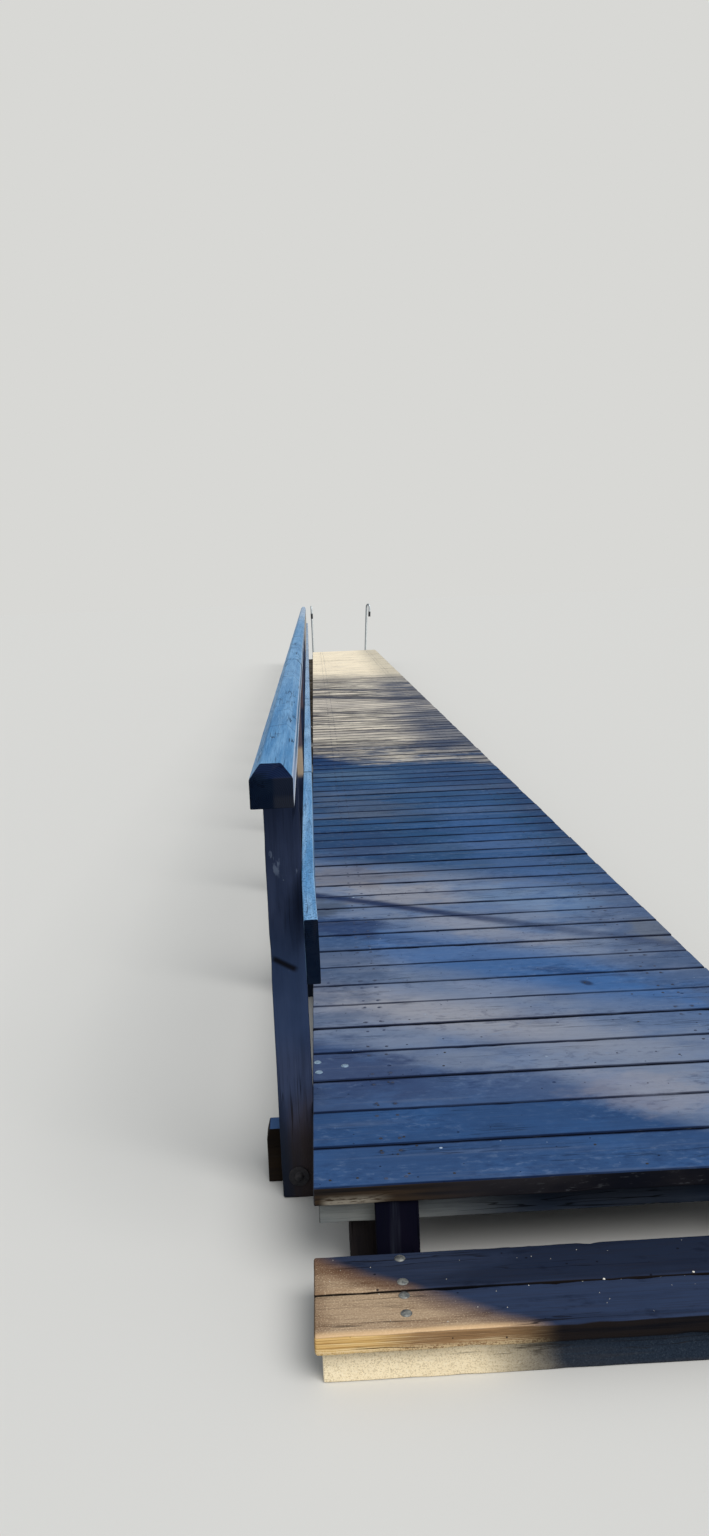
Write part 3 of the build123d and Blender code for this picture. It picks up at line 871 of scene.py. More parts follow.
# %% [markdown]
# ## Metal, rubber and grit
#
# The ladder is hot-dip galvanised: a mid-grey zinc skin with large, faint crystals, dull rather than
# shiny. It is painted pale, as in sunlight, with painted shade on the sides of its tubes that face left.
# The coach bolts in the step have weathered duller; those in the deck are tinted blue with painted
# shade, and the screw heads in the deck carry the same painted slate shade as the boards. Nails, the
# screws of the mid-rail and the end board, and the bolts low down have rusted nearly black. The grips
# on the ladder are moulded rubber. All of them are one colour mottled with another, so one function
# makes them, and it can paint shade on one side.

# %% Metal, rubber and grit
def simple_finish(name, dark, light, scale, metallic, roughness, rough_change, left_side_shade=0.0):
    """A finish mottled between two colours. The crystals or the mould's grain set its scale. The last number paints
    shade on the faces that look to the left.
    """
    material, net = new_material(name)
    place = net.add("ShaderNodeTexCoord", output="Object")
    crystal = net.add("ShaderNodeTexVoronoi", {"Vector": place, "Scale": scale}, output="Color")
    mottle = net.noise(crystal, 3.0, 2) * 0.5 + net.noise(place, scale * 0.35, 4) * 0.5
    base = net.mix(mottle.rise(0.35, 0.65), dark, light)
    # Painted shade on the faces that look to the left
    if left_side_shade:
        facing = net.split(net.add("ShaderNodeTexCoord", output="Normal"))[0]
        base = net.mix(facing.rise(0.35, -0.45) * left_side_shade, base, (60, 72, 88))
    bump = net.add("ShaderNodeBump", {"Height": net.noise(place, scale * 3, 3), "Distance": 0.0004})
    surface = net.add("ShaderNodeBsdfPrincipled", {
        "Base Color": base, "Metallic": metallic, "Roughness": roughness + mottle * rough_change, "Normal": bump})
    net.node("ShaderNodeOutputMaterial", {"Surface": surface})
    return material


# Pale zinc painted as in sunlight, with painted shade on the left sides of the tubes
zinc = simple_finish("galvanised_steel", (190, 200, 206), (232, 238, 240), 90.0, 0.40, 0.36, 0.25, 0.75)
dull_zinc = simple_finish("weathered_zinc", (76, 80, 84), (140, 142, 138), 220.0, 0.40, 0.38, 0.25)
# Zinc tinted blue with painted shade, for the bolts in the deck
blue_shade_zinc = simple_finish("blue_shade_zinc", (88, 112, 138), (150, 176, 198), 220.0, 0.30, 0.45, 0.25)
# Screw heads with the painted slate shade of the boards
old_head = simple_finish("old_screw_head", (24, 32, 52), (52, 66, 98), 9.0, 0.0, 0.70, 0.1)
dark_iron = simple_finish("rusted_iron", (18, 20, 28), (44, 42, 46), 260.0, 0.35, 0.50, 0.3)
rubber = simple_finish("grip_rubber", (24, 26, 30), (38, 40, 46), 400.0, 0.0, 0.55, 0.2)
stone = simple_finish("quartz_grit", (176, 172, 160), (236, 234, 226), 300.0, 0.0, 0.45, 0.3)
print("metal, rubber and grit ready")

# %% [markdown]
# ## One rule for every sawn timber
#
# A plank, a post and a beam are all the same thing: a box whose arrises have rounded off, slightly
# cupped and never quite straight. That is a rule, so Geometry Nodes make them all. The input is a mesh
# with a single point in the middle of each timber, which carries the timber's `size`. A finely divided
# cube is put on each point. Its rows are then moved: the outermost row stays on the face, the second
# one comes to the edge of the arris, and the rest share out what is left. Corners are pulled in to
# round the arris off. Last come a slow wave and a cup that differ from timber to timber.

# %% Starting a tree
def new_tree(name, **kinds):
    """The net of an empty Geometry Nodes tree that takes a mesh and these inputs, and the inputs."""
    tree = bpy.data.node_groups.new(name, "GeometryNodeTree")
    for key, kind in {"Geometry": "Geometry", **kinds}.items():
        tree.interface.new_socket(key, in_out="INPUT", socket_type="NodeSocket" + kind)
    tree.interface.new_socket("Geometry", in_out="OUTPUT", socket_type="NodeSocketGeometry")
    net = Net(tree)
    return net, {socket.name: Value(net, socket) for socket in net.node("NodeGroupInput").outputs if socket.name}


def stored(geometry, name, value):
    kind = "FLOAT" if value.socket.type == "VALUE" else "FLOAT_VECTOR"
    return geometry.net.add("GeometryNodeStoreNamedAttribute", {"Geometry": geometry, "Name": name, "Value": value},
                            data_type=kind, domain="POINT")


def recalled(net, name, kind="FLOAT_VECTOR"):
    return net.add("GeometryNodeInputNamedAttribute", {"Name": name}, data_type=kind)


def shuffled(net, kind, low, high, seed):
    return net.add("FunctionNodeRandomValue", {"Min": low, "Max": high, "Seed": seed}, data_type=kind)


print("trees can be started")


# %% The timber tree
def timber_tree():
    net, given = new_tree("sawn_timbers", Rows="Vector", Along="Vector", Across="Vector", Through="Vector",
                          Arris="Float", Cup="Float", Wave="Float", Chip="Float", Shift="Vector", Spare="Vector",
                          Seed="Int", Material="Material")
    rows = given["Rows"]
    axes = [given[name] for name in ("Along", "Across", "Through")]
    position = net.add("GeometryNodeInputPosition")
    points = stored(given["Geometry"], "home", position)
    points = stored(points, "tone", shuffled(net, "FLOAT", 0.0, 1.0, given["Seed"]))
    row_x, row_y, row_z = net.split(rows)
    cube = net.add("GeometryNodeMeshCube", {"Size": 2.0, "Vertices X": row_x, "Vertices Y": row_y,
                                            "Vertices Z": row_z})
    timbers = net.add("GeometryNodeInstanceOnPoints", {"Points": points, "Instance": cube})
    timbers = net.add("GeometryNodeRealizeInstances", {"Geometry": timbers})

    home = recalled(net, "home")
    luck = net.add("ShaderNodeTexWhiteNoise", {"W": recalled(net, "tone", "FLOAT")}, noise_dimensions="1D",
                   output="Color") * 2 - 1
    half = recalled(net, "size") * 0.5 + given["Spare"] * luck
    inner = half - given["Arris"]
    unit = position - home
    steps = (1 - unit.size()) * ((rows - 1) * 0.5)
    inwards = steps.least(1) * given["Arris"] + (steps - 1).most(0) * (inner * 2 / (rows - 3))
    square = unit.sign() * (half - inwards)
    core = square.least(inner).most(inner * -1)
    local = core + (square - core).direction() * given["Arris"]

    along, across, through = [local.dot(axis) for axis in axes]
    half_along, half_across, half_through = [half.dot(axis) for axis in axes]
    rim = (half_across - across.size()).most(half_through - through.size())
    grain = net.joined(along, across, through)
    apart = luck * 9
    wave = (net.noise(grain * (1.6, 7.0, 7.0) + apart, output="Color") - 0.5) * (given["Wave"] * 2)
    hollow = (across / half_across).power(2.0) - 0.4
    bow = given["Through"] * (hollow * given["Cup"] * net.split(luck)[0])
    chips = net.noise(grain * (11.0, 34.0, 34.0) + apart, 1.0, 2, 0.6)
    chips = chips.rise(0.50, 0.72) * rim.rise(0.012, 0.001) * given["Chip"]
    outwards = (local * (given["Across"] + given["Through"])).sign()
    moved = local + home + (wave + (bow - outwards * chips)) + given["Shift"] * luck

    for key, value in {"grain": grain, "rim": rim, "tip": half_along - along.size(), "moved": moved}.items():
        timbers = stored(timbers, key, value)
    timbers = net.add("GeometryNodeSetPosition", {"Geometry": timbers, "Position": recalled(net, "moved")})
    timbers = net.add("GeometryNodeSetMaterial", {"Geometry": timbers, "Material": given["Material"]})
    net.node("NodeGroupOutput", {"Geometry": timbers})
    return net.tree


sawn_timbers = timber_tree()
print("timber tree has", len(sawn_timbers.nodes), "nodes")

# %% [markdown]
# ## From CAD solids to points
#
# A CAD node may hold many timbers, as the fifteen planks of a deck section. Faces that share a corner
# belong to one timber, so walking over them gives the box of each. The box's middle and size are all
# that the tree above needs. Afterwards the modifier's result is kept as a plain mesh, with normals
# weighted by the size of the faces, so that broad faces stay flat and only the arrises turn.

# %% Boxes of the timbers in a node
SAME_CORNER = 0.00001


def solid_boxes(node):
    """(lowest corner, highest corner) of each solid in a CAD node, in order along the jetty."""
    bm = bmesh.new()
    bm.from_mesh(nodes[node].data)
    bmesh.ops.remove_doubles(bm, verts=bm.verts, dist=SAME_CORNER)
    left = set(bm.verts)
    boxes = []
    while left:
        island = [left.pop()]
        for vertex in island:
            fresh = [other for edge in vertex.link_edges if (other := edge.other_vert(vertex)) in left]
            left.difference_update(fresh)
            island += fresh
        places = np.array([vertex.co for vertex in island])
        boxes.append((Vector(places.min(0)), Vector(places.max(0))))
    bm.free()
    return sorted(boxes, key=lambda box: (box[0].y, box[0].x))


def point_cloud(name, boxes):
    """A mesh with one point in the middle of each box, which carries the box's size."""
    mesh = bpy.data.meshes.new(name)
    mesh.from_pydata([(low + high) / 2 for low, high in boxes], [], [])
    with_attribute(mesh, "size", [high - low for low, high in boxes])
    return placed(name, mesh)


def with_attribute(mesh, name, values):
    """Give each vertex a number or a vector that nodes can read by name."""
    kind, item = ("FLOAT", "value") if np.ndim(values) == 1 else ("FLOAT_VECTOR", "vector")
    mesh.attributes.new(name, kind, "POINT").data.foreach_set(item, np.ravel(values))


print("planks in the first section:", len(solid_boxes("deck_section_1")))


# %% Keep what a modifier made
def finished_mesh(made):
    """The object's mesh with its modifiers worked in and its normals weighted."""
    weighted = made.modifiers.new("even shading", "WEIGHTED_NORMAL")
    weighted.weight = 100
    view = bpy.context.evaluated_depsgraph_get()
    mesh = bpy.data.meshes.new_from_object(made.evaluated_get(view), preserve_all_data_layers=True, depsgraph=view)
    made.modifiers.clear()
    return mesh


def kept_mesh(made, tree, values):
    """Run a tree on an object and keep the result as its plain mesh."""
    modifier = made.modifiers.new("making", "NODES")
    modifier.node_group = tree
    names = {item.name: item.identifier for item in tree.interface.items_tree if item.in_out == "INPUT"}
    for name, value in values.items():
        modifier[names[name]] = value
    made.data = finished_mesh(made)
    return made


def joined_to_frame(made, slot, *replaced):
    """Every finished piece rides on the one body, and may stand for CAD nodes."""
    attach(made, "root")
    if replaced:
        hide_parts(*replaced)
    return made


print("meshes can be kept")

# %% [markdown]
# ## Deck, step, front frame and what stands under the deck
#
# These are all the same rule with other rows. A timber's longest side gets the most rows, so that its
# faces stay nearly square and its wave looks smooth. The boards nearest to the camera get more.

# %% Dress the deck boards
X, Y, Z = (1.0, 0.0, 0.0), (0.0, 1.0, 0.0), (0.0, 0.0, 1.0)
AXES = {"X": (X, Y, Z), "Y": (Y, X, Z), "Z": (Z, X, Y)}
FINE_ROWS = (70.0, 10.0, 4.0)
PLAIN_ROWS = (20.0, 7.0, 4.0)


def dressed(node, name, material, slot, grain_axis, rows, **values):
    """Replace one CAD node by its timbers with weathered surfaces."""
    made = point_cloud(name, solid_boxes(node))
    inputs = dict(zip(("Along", "Across", "Through"), AXES[grain_axis]), Rows=rows, Material=material)
    inputs.update({key.title(): value for key, value in values.items()})
    kept_mesh(made, sawn_timbers, inputs)
    return joined_to_frame(made, slot, node)


sections = sorted(name for name in nodes if name.startswith("deck_section"))
for number, section in enumerate(sections, start=1):
    dressed(section, f"deck_boards_{number}", deck_wood, "deck_timber", "X",
            rows=FINE_ROWS if number == 1 else PLAIN_ROWS, arris=0.0035, cup=0.0016, wave=0.0012, chip=0.0016,
            shift=(0.0012, 0.0007, 0.0010), spare=(0.0016, 0.0008, 0.0), seed=10 + number)
print("deck sections dressed:", len(sections))

# %% Step, posts and stringers
CHIP_OF_ARRIS = 0.6
# CAD node, name, finish, slot, way of the grain, rows along X, Y and Z, radius of the arris, wave
TIMBERS = [
    ("step_front_tread", "front_step_board", step_wood, "step_timber", "X", (90.0, 14.0, 8.0), 0.006, 0.0014),
    ("step_rear_tread", "rear_step_board", step_wood, "step_timber", "X", (90.0, 14.0, 8.0), 0.005, 0.0012),
    ("step_riser", "riser_board", riser_wood, "riser_timber", "X", (40.0, 4.0, 8.0), 0.003, 0.0015),
    ("step_bearers", "step_bearer_pair", frame_wood, "riser_timber", "Y", (4.0, 8.0, 6.0), 0.003, 0.001),
    ("header_board", "front_header", header_wood, "header_timber", "X", (40.0, 4.0, 7.0), 0.003, 0.0015),
    ("front_uprights", "front_upright_pair", upright_wood, "frame_timber", "Z", (7.0, 4.0, 12.0), 0.003, 0.0015),
    ("end_fascia", "far_end_board", header_wood, "header_timber", "X", (40.0, 4.0, 8.0), 0.003, 0.0015),
    *[(f"stringer_{side}", f"{side}_stringers", frame_wood, "frame_timber", "Y", (4.0, 50.0, 4.0), 0.004, 0.002)
      for side in ("left", "middle", "right")],
    *[(f"piles_{side}", f"{side}_piles", frame_wood, "frame_timber", "Z", (6.0, 6.0, 8.0), 0.006, 0.002)
      for side in ("left", "right")],
    *[(f"rail_posts_{part}", f"{part}_posts", post_wood, "post_timber", "Z", (6.0, 6.0, rows), 0.005, 0.002)
      for part, rows in (("near", 30.0), ("middle", 24.0), ("far", 24.0))],
]
for number, (node, name, material, slot, axis, rows, arris, wave) in enumerate(TIMBERS, start=30):
    dressed(node, name, material, slot, axis, rows, arris=arris, wave=wave, chip=arris * CHIP_OF_ARRIS, seed=number)
print("other timbers dressed:", len(TIMBERS))

# %% [markdown]
# ## Handrail, mid-rail and cross-beams
#
# A rail is one section drawn out along a line, and the line of posts drifts slowly away from the deck.
# So a rail is swept by hand: the outline is written down as its corners, each corner is rounded a
# little, and the same ring is repeated from one end of the rail to the other. Each vertex is then
# moved a hair's breadth by a slow noise, because no rail that has stood in the sun is straight. That
# noise gets a fixed seed first. Blender takes one from the clock otherwise, and then no two runs give
# the same rail. The section of the handrail is a square with its two upper corners planed off, and its free ends are
# planed off too: the ring at the end leans back above a shoulder. The cross-beams have such an end on
# the left, so they are swept in the same way. The free end of the mid-rail, before the first post, has
# sprung a few millimetres towards the deck.

# %% Outline of a swept timber
def rounded_outline(corners, radius, flats):
    """Points of a closed outline and their distance to the nearest corner.

    Each corner is rounded by three points, and each side gets `flats` points of its own."""
    points = []
    for index, here in enumerate(corners):
        after = corners[(index + 1) % len(corners)]
        towards = (after - here).normalized()
        start = here + (corners[index - 1] - here).normalized() * radius
        finish = here + towards * radius
        points += [(start, 0.0), ((start + finish) * 0.25 + here * 0.5, 0.0), (finish, 0.0)]
        side = (after - here).length - 2 * radius
        for part in range(1, flats + 1):
            along = side * part / (flats + 1)
            points.append((finish + towards * along, min(along, side - along)))
    return points


def section_corners(width, height, chamfer_width=0.0, chamfer_height=0.0):
    """Corners of a timber's section about its own middle: x across, y up, going round to the left."""
    x = width / 2
    y = height / 2
    if chamfer_width == 0.0:
        corners = [(-x, -y), (x, -y), (x, y), (-x, y)]
    else:
        corners = [(-x, -y), (x, -y), (x, y - chamfer_height), (x - chamfer_width, y),
                   (-x + chamfer_width, y), (-x, y - chamfer_height)]
    return [Vector(corner) for corner in corners]


def cap_parts(heights, shoulder, slope):
    """The flat faces that close an end: one, or two where the end is planed off above a shoulder."""
    everywhere = range(len(heights))
    if slope == 0.0:
        return [list(everywhere)]
    lower = [i for i in everywhere if heights[i] <= shoulder + 0.0001]
    upper = [i for i in everywhere if heights[i] >= shoulder - 0.0001]
    turn = next(n for n in range(1, len(lower)) if lower[n] != lower[n - 1] + 1)
    return [lower[turn:] + lower[:turn], upper]


print("points round the handrail:", len(rounded_outline(section_corners(0.095, 0.095, 0.025, 0.03), 0.003, 3)))

# %% Sweeping timbers
SWEEP_WAVE = 0.0013
END_EASE = 0.0015
SQUARE_END = (0.0, 0.0)
SPRUNG_LENGTH = 0.5
NOISE_SEED = 1
seed_set(NOISE_SEED)


class SweptTimbers:
    """Timbers that are swept by hand and gathered in one mesh, with what their finish reads."""

    def __init__(self, name):
        self.name = name
        self.places = []
        self.faces = []
        self.caps = []
        self.read = {"grain": [], "rim": [], "tip": [], "tone": []}

    def sweep(self, start, finish, outline, tone, bevels=(SQUARE_END, SQUARE_END), spring=0.0, spacing=0.06):
        """Sweep one timber. A bevel is how far down and how far along an end is planed off."""
        direction = (finish - start).normalized()
        sideways = direction.cross(Vector(Z))
        length = (finish - start).length
        top = max(point.y for point, rim in outline)
        shoulders = [max(point.y for point, rim in outline if point.y <= top - down + 0.0001)
                     for down, along in bevels]
        slopes = [along / (top - shoulder) if along else 0.0
                  for shoulder, (down, along) in zip(shoulders, bevels)]
        inner = list(np.arange(spacing / 2, length - spacing / 2, spacing))
        steps = [(0.0, END_EASE), (END_EASE, 0.0)] + [(along, 0.0) for along in inner]
        steps += [(length - END_EASE, 0.0), (length, END_EASE)]
        drift = Vector((tone * 37, tone * 13, 0))
        first = len(self.places)
        for along, inset in steps:
            for point, rim in outline:
                held = point - point.normalized() * inset
                near, far = [max(0.0, held.y - shoulder) * slope for shoulder, slope in zip(shoulders, slopes)]
                place = max(along, near + min(along, END_EASE))
                place = min(place, length - far - min(length - along, END_EASE))
                spot = start + direction * place + sideways * held.x + Vector((0, 0, held.y))
                turn = noise_vector(Vector((point.x * 12, place * 1.7, point.y * 12)) + drift)
                spot += (sideways * turn.x + Vector((0, 0, turn.z))) * SWEEP_WAVE
                spot += sideways * spring * max(0.0, 1 - place / SPRUNG_LENGTH) ** 1.5
                self.places.append(spot)
                self.read["grain"].append((place - length / 2, point.x, point.y))
                self.read["rim"].append(rim)
                self.read["tip"].append(min(place - near, length - far - place))
                self.read["tone"].append(tone)
        around = len(outline)
        last = first + (len(steps) - 1) * around
        self.faces += [(ring + b, ring + around + b, ring + around + (b + 1) % around, ring + (b + 1) % around)
                       for ring in range(first, last, around) for b in range(around)]
        heights = [point.y for point, rim in outline]
        self.caps += [[first + i for i in part] for part in cap_parts(heights, shoulders[0], slopes[0])]
        self.caps += [[last + i for i in reversed(part)] for part in cap_parts(heights, shoulders[1], slopes[1])]

    def made(self, material, slot, *replaced):
        mesh = bpy.data.meshes.new(self.name)
        mesh.from_pydata(self.places, [], self.faces + self.caps)
        for key, values in self.read.items():
            with_attribute(mesh, key, values)
        for polygon in mesh.polygons:
            polygon.use_smooth = polygon.index < len(self.faces)
        mesh.materials.append(material)
        made = placed(self.name, mesh)
        made.data = finished_mesh(made)
        return joined_to_frame(made, slot, *replaced)


print("sweep ready")

# %% Sweep the rails
RAIL_CHAMFER = (0.025, 0.030)
RAIL_END_BEVEL = (0.030, 0.025)
RAIL_RADIUS = 0.003
END_SPRING = 0.007
GOLDEN = 0.618


def end_middles(node):
    """Middle of a rail's section at its low and its high end, from the corners along its underside."""
    low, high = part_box(node)
    edge = 0.003
    corners = [vertex.co for vertex in nodes[node].data.vertices if vertex.co.z < low.z + edge]
    middles = []
    for y in (low.y, high.y):
        across = [place.x for place in corners if abs(place.y - y) < edge]
        middles.append(Vector(((min(across) + max(across)) / 2, y, (low.z + high.z) / 2)))
    return middles, max(across) - min(across), high.z - low.z


def swept_rail(node, name, material, slot, chamfer, seed, bevels=(SQUARE_END, SQUARE_END), spring=0.0):
    (start, finish), width, height = end_middles(node)
    outline = rounded_outline(section_corners(width, height, *chamfer), RAIL_RADIUS, 3)
    rail = SweptTimbers(name)
    rail.sweep(start, finish, outline, (seed * GOLDEN) % 1.0, bevels, spring)
    return rail.made(material, slot, node)


rails = sorted(name for name in nodes if name.startswith("handrail"))
mid_rails = sorted(name for name in nodes if name.startswith("mid_rail"))
for number, node in enumerate(rails, start=1):
    ends = (RAIL_END_BEVEL if number == 1 else SQUARE_END, RAIL_END_BEVEL if number == len(rails) else SQUARE_END)
    swept_rail(node, f"top_rail_{number}", handrail_wood, "handrail_timber", RAIL_CHAMFER, number, ends)
for number, node in enumerate(mid_rails, start=1):
    swept_rail(node, f"lower_rail_{number}", mid_rail_wood, "mid_rail_timber", (), number + 20,
               spring=END_SPRING if number == 1 else 0.0)
print("rails swept:", len(rails) + len(mid_rails))

# %% Sweep the cross-beams
BEAM_BEVEL = (0.008, 0.008)
BEAM_RADIUS = 0.004

beams = SweptTimbers("trestle_beams")
for number, (low, high) in enumerate(solid_boxes("cross_beams")):
    middle = (low + high) / 2
    outline = rounded_outline(section_corners(high.y - low.y, high.z - low.z), BEAM_RADIUS, 5)
    beams.sweep(Vector((low.x, middle.y, middle.z)), Vector((high.x, middle.y, middle.z)), outline,
                (number * GOLDEN) % 1.0, (BEAM_BEVEL, SQUARE_END))
beams.made(beam_wood, "frame_timber", "cross_beams")
print("cross-beams swept:", number + 1)

# %% [markdown]
# ## The ladder
#
# The tubes, their brackets and the grips have the right shape in the CAD model, so they keep it and
# only get their zinc and rubber. The tread is timber with a round seat cut for each tube. A copy of
# its mesh, cleaned up and eased at the edges, is given the attributes that the wood finish reads.

# %% Ladder
KEPT = {"ladder_left_tube": zinc, "ladder_right_tube": zinc, "ladder_brackets": zinc, "ladder_end_caps": rubber}
for name, material in KEPT.items():
    nodes[name].data.materials.clear()
    nodes[name].data.materials.append(material)


def eased_copy(node, name, material, slot, ease, inside):
    """A copy of a CAD mesh with eased edges. `inside` stands for its distance to any edge."""
    bm = bmesh.new()
    bm.from_mesh(nodes[node].data)
    bmesh.ops.remove_doubles(bm, verts=bm.verts, dist=SAME_CORNER)
    bmesh.ops.dissolve_limit(bm, angle_limit=math.radians(1), verts=bm.verts, edges=bm.edges)
    mesh = bpy.data.meshes.new(name)
    bm.to_mesh(mesh)
    bm.free()
    mesh.materials.append(material)
    made = placed(name, mesh)
    bevel = made.modifiers.new("ease", "BEVEL")
    bevel.width = ease
    bevel.segments = 2
    bevel.limit_method = "ANGLE"
    made.data = finished_mesh(made)
    low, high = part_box(node)
    corners = made.data.vertices
    with_attribute(made.data, "grain", [vertex.co - (low + high) / 2 for vertex in corners])
    for key, value in (("rim", inside), ("tip", inside), ("tone", 0.5)):
        with_attribute(made.data, key, [value] * len(corners))
    return joined_to_frame(made, slot, node)


eased_copy("ladder_tread", "ladder_step", frame_wood, "step_timber", 0.0015, 0.05)
print("ladder finished:", len(KEPT) + 1, "pieces")

# %% [markdown]
# ## Bolts, screws and washers
#
# Nearly a thousand screws hold the boards down, in pairs over the outer lines of stringers. One head is
# turned on a lathe, so to speak: half its section is spun round an axis. Geometry Nodes then put a copy
# on each point of a cloud. The tree first looks for the timber that the screw sits in, with a ray
# against the way that the head faces, so every head lies on the worn surface and not on the ideal one.
# A point carries the direction that its head faces and the size that it has.

# %% Heads
SAME_HEAD_CORNER = 0.000001


def closed_shape(name, bm, smooth):
    """Close a bmesh into an object, with its faces pointing outwards."""
    bmesh.ops.remove_doubles(bm, verts=bm.verts, dist=SAME_HEAD_CORNER)
    bmesh.ops.recalc_face_normals(bm, faces=bm.faces)
    mesh = bpy.data.meshes.new(name)
    bm.to_mesh(mesh)
    bm.free()
    for polygon in mesh.polygons:
        polygon.use_smooth = smooth
    return placed(name, mesh)


def turned(name, profile, sides, smooth=True):
    """A closed turned shape about Z, from (radius, height) pairs that begin and end on the axis."""
    bm = bmesh.new()
    corners = [bm.verts.new((radius, 0, height)) for radius, height in profile]
    edges = [bm.edges.new(pair) for pair in zip(corners, corners[1:])]
    bmesh.ops.spin(bm, geom=corners + edges, cent=(0, 0, 0), axis=Z, angle=math.tau, steps=sides)
    return closed_shape(name, bm, smooth)


def grain_of_grit(name):
    """A small broken stone of unit radius."""
    bm = bmesh.new()
    bmesh.ops.create_icosphere(bm, subdivisions=2, radius=1.0)
    for vertex in bm.verts:
        vertex.co += noise_vector(vertex.co * 1.7) * 0.45
        vertex.co.z *= 0.7
    return closed_shape(name, bm, False)


heads = {
    "screw": turned("screw_head", [(0, 0.0002), (0.0022, 0.0002), (0.0030, 0.0009), (0.0048, 0.0007),
                                   (0.0058, -0.0012), (0, -0.0020)], 10),
    "dome": turned("dome_head", [(0, 0.0040), (0.0050, 0.0038), (0.0088, 0.0032), (0.0115, 0.0020),
                                 (0.0130, 0.0002), (0.0130, -0.0020), (0, -0.0020)], 24),
    "washer": turned("washer_and_bolt", [(0, 0.0125), (0.0070, 0.0120), (0.0115, 0.0090), (0.0125, 0.0045),
                                         (0.0140, 0.0038), (0.0270, 0.0038), (0.0285, 0.0026), (0.0285, -0.0015),
                                         (0, -0.0015)], 32),
    "nut": turned("nut_and_washer", [(0, 0.0190), (0.0060, 0.0190), (0.0066, 0.0175), (0.0066, 0.0135),
                                     (0.0115, 0.0135), (0.0125, 0.0125), (0.0125, 0.0030), (0.0260, 0.0030),
                                     (0.0260, -0.0015), (0, -0.0015)], 6, False),
    "hexagon": turned("hexagon_head", [(0, 0.0070), (0.0085, 0.0070), (0.0098, 0.0060), (0.0098, 0.0022),
                                       (0.0150, 0.0020), (0.0150, -0.0010), (0, -0.0010)], 6, False),
    "grit": grain_of_grit("grit_grain"),
}
print("heads turned:", len(heads), "- faces of a screw:", len(heads["screw"].data.polygons))

# %% The tree that seats them
RAY_START = 0.05
RAY_LENGTH = 0.12


def seating_tree():
    net, given = new_tree("seated_heads", Head="Object", Timber="Object", Jitter="Vector", Seed="Int",
                          Material="Material")
    facing = recalled(net, "facing")
    position = net.add("GeometryNodeInputPosition")
    aside = shuffled(net, "FLOAT_VECTOR", -1.0, 1.0, given["Seed"]) * given["Jitter"]
    timber = net.add("GeometryNodeObjectInfo", {"Object": given["Timber"]}, output="Geometry")
    points = net.add("GeometryNodeSetPosition", {"Geometry": given["Geometry"], "Position": position + aside})
    ray = net.node("GeometryNodeRaycast", {"Target Geometry": timber, "Source Position": position + facing * RAY_START,
                                           "Ray Direction": facing * -1, "Ray Length": RAY_LENGTH})
    points = net.add("GeometryNodeSetPosition", {"Geometry": points, "Selection": ray.outputs["Is Hit"],
                                                 "Position": ray.outputs["Hit Position"]})
    head = net.add("GeometryNodeObjectInfo", {"Object": given["Head"], "As Instance": True}, output="Geometry")
    turn = net.add("FunctionNodeAlignRotationToVector", {"Vector": facing}, axis="Z")
    seats = net.add("GeometryNodeInstanceOnPoints", {"Points": points, "Instance": head, "Rotation": turn,
                                                     "Scale": recalled(net, "scale", "FLOAT")})
    spin = net.joined(0.0, 0.0, shuffled(net, "FLOAT", 0.0, math.tau, given["Seed"]))
    seats = net.add("GeometryNodeRotateInstances", {"Instances": seats, "Rotation": spin, "Local Space": True})
    seats = net.add("GeometryNodeRealizeInstances", {"Geometry": seats})
    seats = net.add("GeometryNodeSetMaterial", {"Geometry": seats, "Material": given["Material"]})
    net.node("NodeGroupOutput", {"Geometry": seats})
    return net.tree


seated_heads = seating_tree()
seeds = count(1)


def seated(name, head, timber, places, material, jitter=(0.0, 0.0, 0.0), slot="galvanised_steel"):
    """Put a head on each (place, facing, scale), seated on a timber, as one piece."""
    places, facings, scales = zip(*places)
    mesh = bpy.data.meshes.new(name)
    mesh.from_pydata(places, [], [])
    with_attribute(mesh, "facing", facings)
    with_attribute(mesh, "scale", scales)
    made = kept_mesh(placed(name, mesh), seated_heads, {
        "Head": heads[head], "Timber": bpy.data.objects[timber], "Jitter": jitter, "Seed": next(seeds),
        "Material": material})
    return joined_to_frame(made, slot)


UP = Z
AHEAD = Y
TOWARDS_SHORE = (0.0, -1.0, 0.0)
TOWARDS_DECK = X
print("seating tree has", len(seated_heads.nodes), "nodes")

# %% Screws in the deck boards
LINES = (-LINE_FROM_MIDDLE, 0.0, LINE_FROM_MIDDLE)
SCREW_JITTER = (0.004, 0.007, 0.0)
BOTH = (-1, 1)

for number, section in enumerate(sections, start=1):
    places = [((line + side * SCREW_FROM_LINE, (low.y + high.y) / 2 + row * SCREW_FROM_MIDDLE, DECK_TOP), UP, 1.0)
              for low, high in solid_boxes(section) for line in (LINES[0], LINES[2])
              for side in BOTH for row in BOTH]
    seated(f"board_screws_{number}", "screw", f"deck_boards_{number}", places, old_head, SCREW_JITTER)
print("screws in the last section:", len(places))

# %% Old nails left in the first boards
OLD_NAIL_SCALE = 0.75
PLANK_PITCH = 0.200
# Number of the board, then millimetres from its left end and from its front edge
OLD_NAILS = [(0, 41, 36), (0, 106, 40), (0, 230, 48), (0, 337, 38), (0, 210, 146), (0, 170, 169), (0, 260, 185),
             (0, 699, 141), (0, 798, 33), (1, 232, 34), (2, 177, 26), (2, 214, 171), (3, 381, 61), (3, 395, 157),
             (3, 1072, 54), (4, 1025, 121), (5, 1072, 166), (6, 944, 100), (8, 724, 187)]

